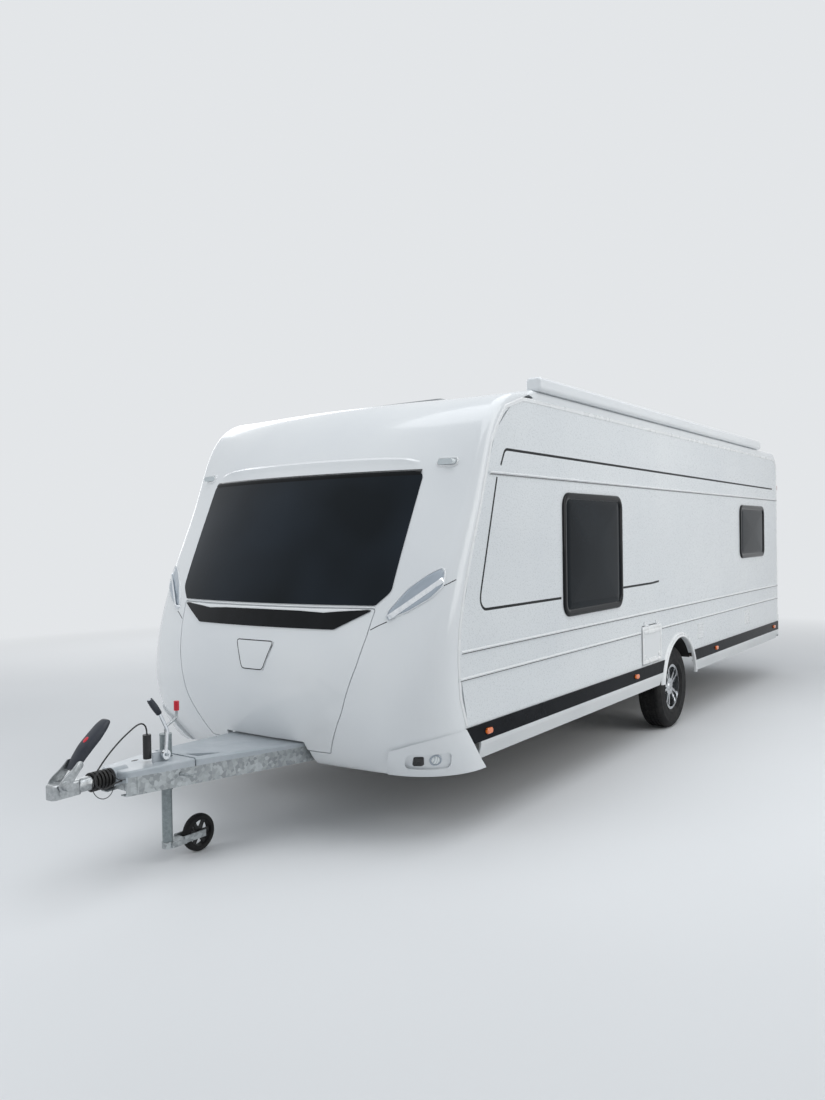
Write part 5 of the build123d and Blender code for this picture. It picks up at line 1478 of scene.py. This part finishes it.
@dataclass(frozen=True)
class Studio:
    """Pale floor, soft lamps and the camera at the photograph's place."""

    eye: Point = (6.68251, 3.73051, 1.66881)
    yaw: float = 3.76164
    pitch: float = -0.01464
    roll: float = -0.016
    lens: float = 29.1313
    floor_tone: Rgb = (0.78, 0.79, 0.80)
    seen_tone: Rgb = (0.77, 0.79, 0.81)
    fill_tone: Rgb = (0.90, 0.95, 1.0)
    fill: float = 0.42
    fade_start: float = 5.2
    fade_end: float = 11.5
    floor_half: float = 60.0

    def camera(self) -> None:
        """Camera looking along its yaw and pitch, turned about its view line by its roll."""
        data = bpy.data.cameras.new("photograph camera")
        data.sensor_width = 36.0
        data.sensor_fit = "AUTO"
        data.lens = self.lens
        data.clip_end = 200.0
        camera = linked("photograph camera", data)
        level = math.cos(self.pitch)
        forward = Vector((math.cos(self.yaw) * level, math.sin(self.yaw) * level, math.sin(self.pitch)))
        right = Vector((math.sin(self.yaw), -math.cos(self.yaw), 0.0))
        up = right.cross(forward)
        right_turned = right * math.cos(self.roll) + up * math.sin(self.roll)
        up_turned = up * math.cos(self.roll) - right * math.sin(self.roll)
        axes = Matrix((right_turned, up_turned, -forward)).transposed()
        camera.matrix_world = Matrix.Translation(self.eye) @ axes.to_4x4()
        bpy.context.scene.camera = camera

    def floor(self) -> None:
        """Wide floor, a grid whose height is zero all over, that fades into the surround far out."""
        span = np.linspace(-self.floor_half, self.floor_half, 9)
        x, y = np.meshgrid(span, span, indexing="ij")
        floor = lattice("studio_floor", np.stack([x, y, np.zeros_like(x)], axis=-1)[:, ::-1])
        plan = Plan("studio floor")
        shade = tuple(c * 0.97 for c in self.floor_tone)
        plan.colour(plan.noise(0.4, 2.0), (0.3, shade), (0.7, self.floor_tone))
        plan.rough(plan.noise(30.0), 0.85, 0.95)
        reach = plan.node("ShaderNodeVectorMath", operation="LENGTH")
        plan.join(plan.place, reach.inputs[0])
        far = plan.between(reach.outputs["Value"], 0.0, 1.0, self.fade_start, self.fade_end)
        glow = plan.node("ShaderNodeEmission", Color=(*self.seen_tone, 1))
        mix = plan.node("ShaderNodeMixShader")
        plan.join(plan.maths("MULTIPLY", far, add_seen(plan.tree)), mix.inputs[0])
        plan.join(plan.shader.outputs["BSDF"], mix.inputs[1])
        plan.join(glow.outputs["Emission"], mix.inputs[2])
        plan.join(mix.outputs["Shader"], plan.output.inputs["Surface"])
        floor.data.materials.append(plan.material)

    def world(self) -> None:
        """Even surround: dim as light on the object, pale where a ray of add_seen meets it."""
        world = bpy.data.worlds.new("studio surround")
        bpy.context.scene.world = world
        world.use_nodes = True
        tree = world.node_tree
        tree.nodes.clear()
        mix = tree.nodes.new("ShaderNodeMixShader")
        tree.links.new(add_seen(tree), mix.inputs[0])
        tones = ((self.fill_tone, self.fill), (self.seen_tone, 1.0))
        for number, (tone, strength) in enumerate(tones, start=1):
            light = tree.nodes.new("ShaderNodeBackground")
            light.inputs["Color"].default_value = (*tone, 1)
            light.inputs["Strength"].default_value = strength
            tree.links.new(light.outputs[0], mix.inputs[number])
        tree.links.new(mix.outputs[0], tree.nodes.new("ShaderNodeOutputWorld").inputs["Surface"])

    def build(self) -> None:
        """Camera, floor, surround, lamps and the view settings."""
        self.camera()
        self.floor()
        self.world()
        for lamp in LAMPS:
            lamp.build()
        bpy.context.scene.view_settings.view_transform = "Standard"


# Cords


@dataclass(frozen=True)
class Cable:
    """A free cable on a smooth line led by the route's points, in millimetres ahead of the axle."""

    name: str
    diameter: float
    length: float
    stiffness: str
    far_end: str
    replaces: str
    exit_first: bool
    companions: tuple[str, ...]
    route: tuple[Point, ...]

    def build(self) -> None:
        """NURBS line through the route with a round bevel."""
        data = bpy.data.curves.new(self.name, "CURVE")
        data.dimensions = "3D"
        data.resolution_u = 12
        line = data.splines.new("NURBS")
        line.points.add(len(self.route) - 1)
        places = np.array(self.route) / 1000.0 + (AXLE_X, 0.0, 0.0)
        line.points.foreach_set("co", np.hstack([places, np.ones((len(places), 1))]).ravel())
        line.order_u = 3
        line.use_endpoint_u = True
        data.bevel_depth = self.diameter / 2
        data.bevel_resolution = 4
        data.use_fill_caps = True
        piece = linked(self.name, data)
        data.materials.append(finish_of("black_plastic"))
        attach(piece, "caravan")
        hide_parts(self.replaces)
        LOG.info("cord %s: %d route points", self.name, len(self.route))


CABLES = (
    Cable("connection_lead", 0.008, 0.639, "medium", "plug", "connection_cable", False, ("parked_plug",), (
        (4643.0, 20.0, 692.0), (4643.0, 20.0, 728.0), (4672.0, 24.0, 756.0), (4713.0, 30.0, 752.0),
        (4760.0, 38.0, 731.0), (4808.0, 43.0, 706.0), (4856.0, 44.0, 671.0), (4899.0, 46.0, 636.0),
        (4940.0, 54.0, 602.0), (4975.0, 62.0, 570.0), (4980.0, 66.0, 526.0), (4950.0, 69.0, 492.0),
        (4907.0, 71.0, 491.0), (4870.0, 72.0, 510.0), (4835.0, 72.0, 510.0),
    )),
    Cable("breakaway_line", 0.004, 0.454, "limp", "bare", "breakaway_cable", True, (), (
        (4835.0, 100.0, 520.0), (4867.0, 100.0, 520.0), (4899.0, 98.0, 552.0), (4934.0, 96.0, 592.0),
        (4975.0, 95.0, 590.0), (5008.0, 94.0, 560.0), (5016.0, 93.0, 518.0), (4996.0, 91.0, 476.0),
        (4956.0, 89.0, 450.0), (4914.0, 87.0, 456.0), (4891.0, 86.0, 488.0), (4888.0, 85.0, 520.0),
    )),
)


def main() -> None:
    """Builds the studio, the cords and every sub-assembly, in order."""
    logging.basicConfig(level=logging.INFO, format="%(name)s: %(message)s")
    Studio().build()
    dress_nodes()
    for part in (*CABLES, Front(), *WALL_WINDOWS, *WALL_TRIMS, ServiceHatch(), *WALL_VENTS, EntranceHandle()):
        part.build()
    for side in Side:
        WheelArch(side).build()
        Tyre(side).build()
    Drawbar().build()
    Roller().build()


if __name__ == "__main__":
    main()
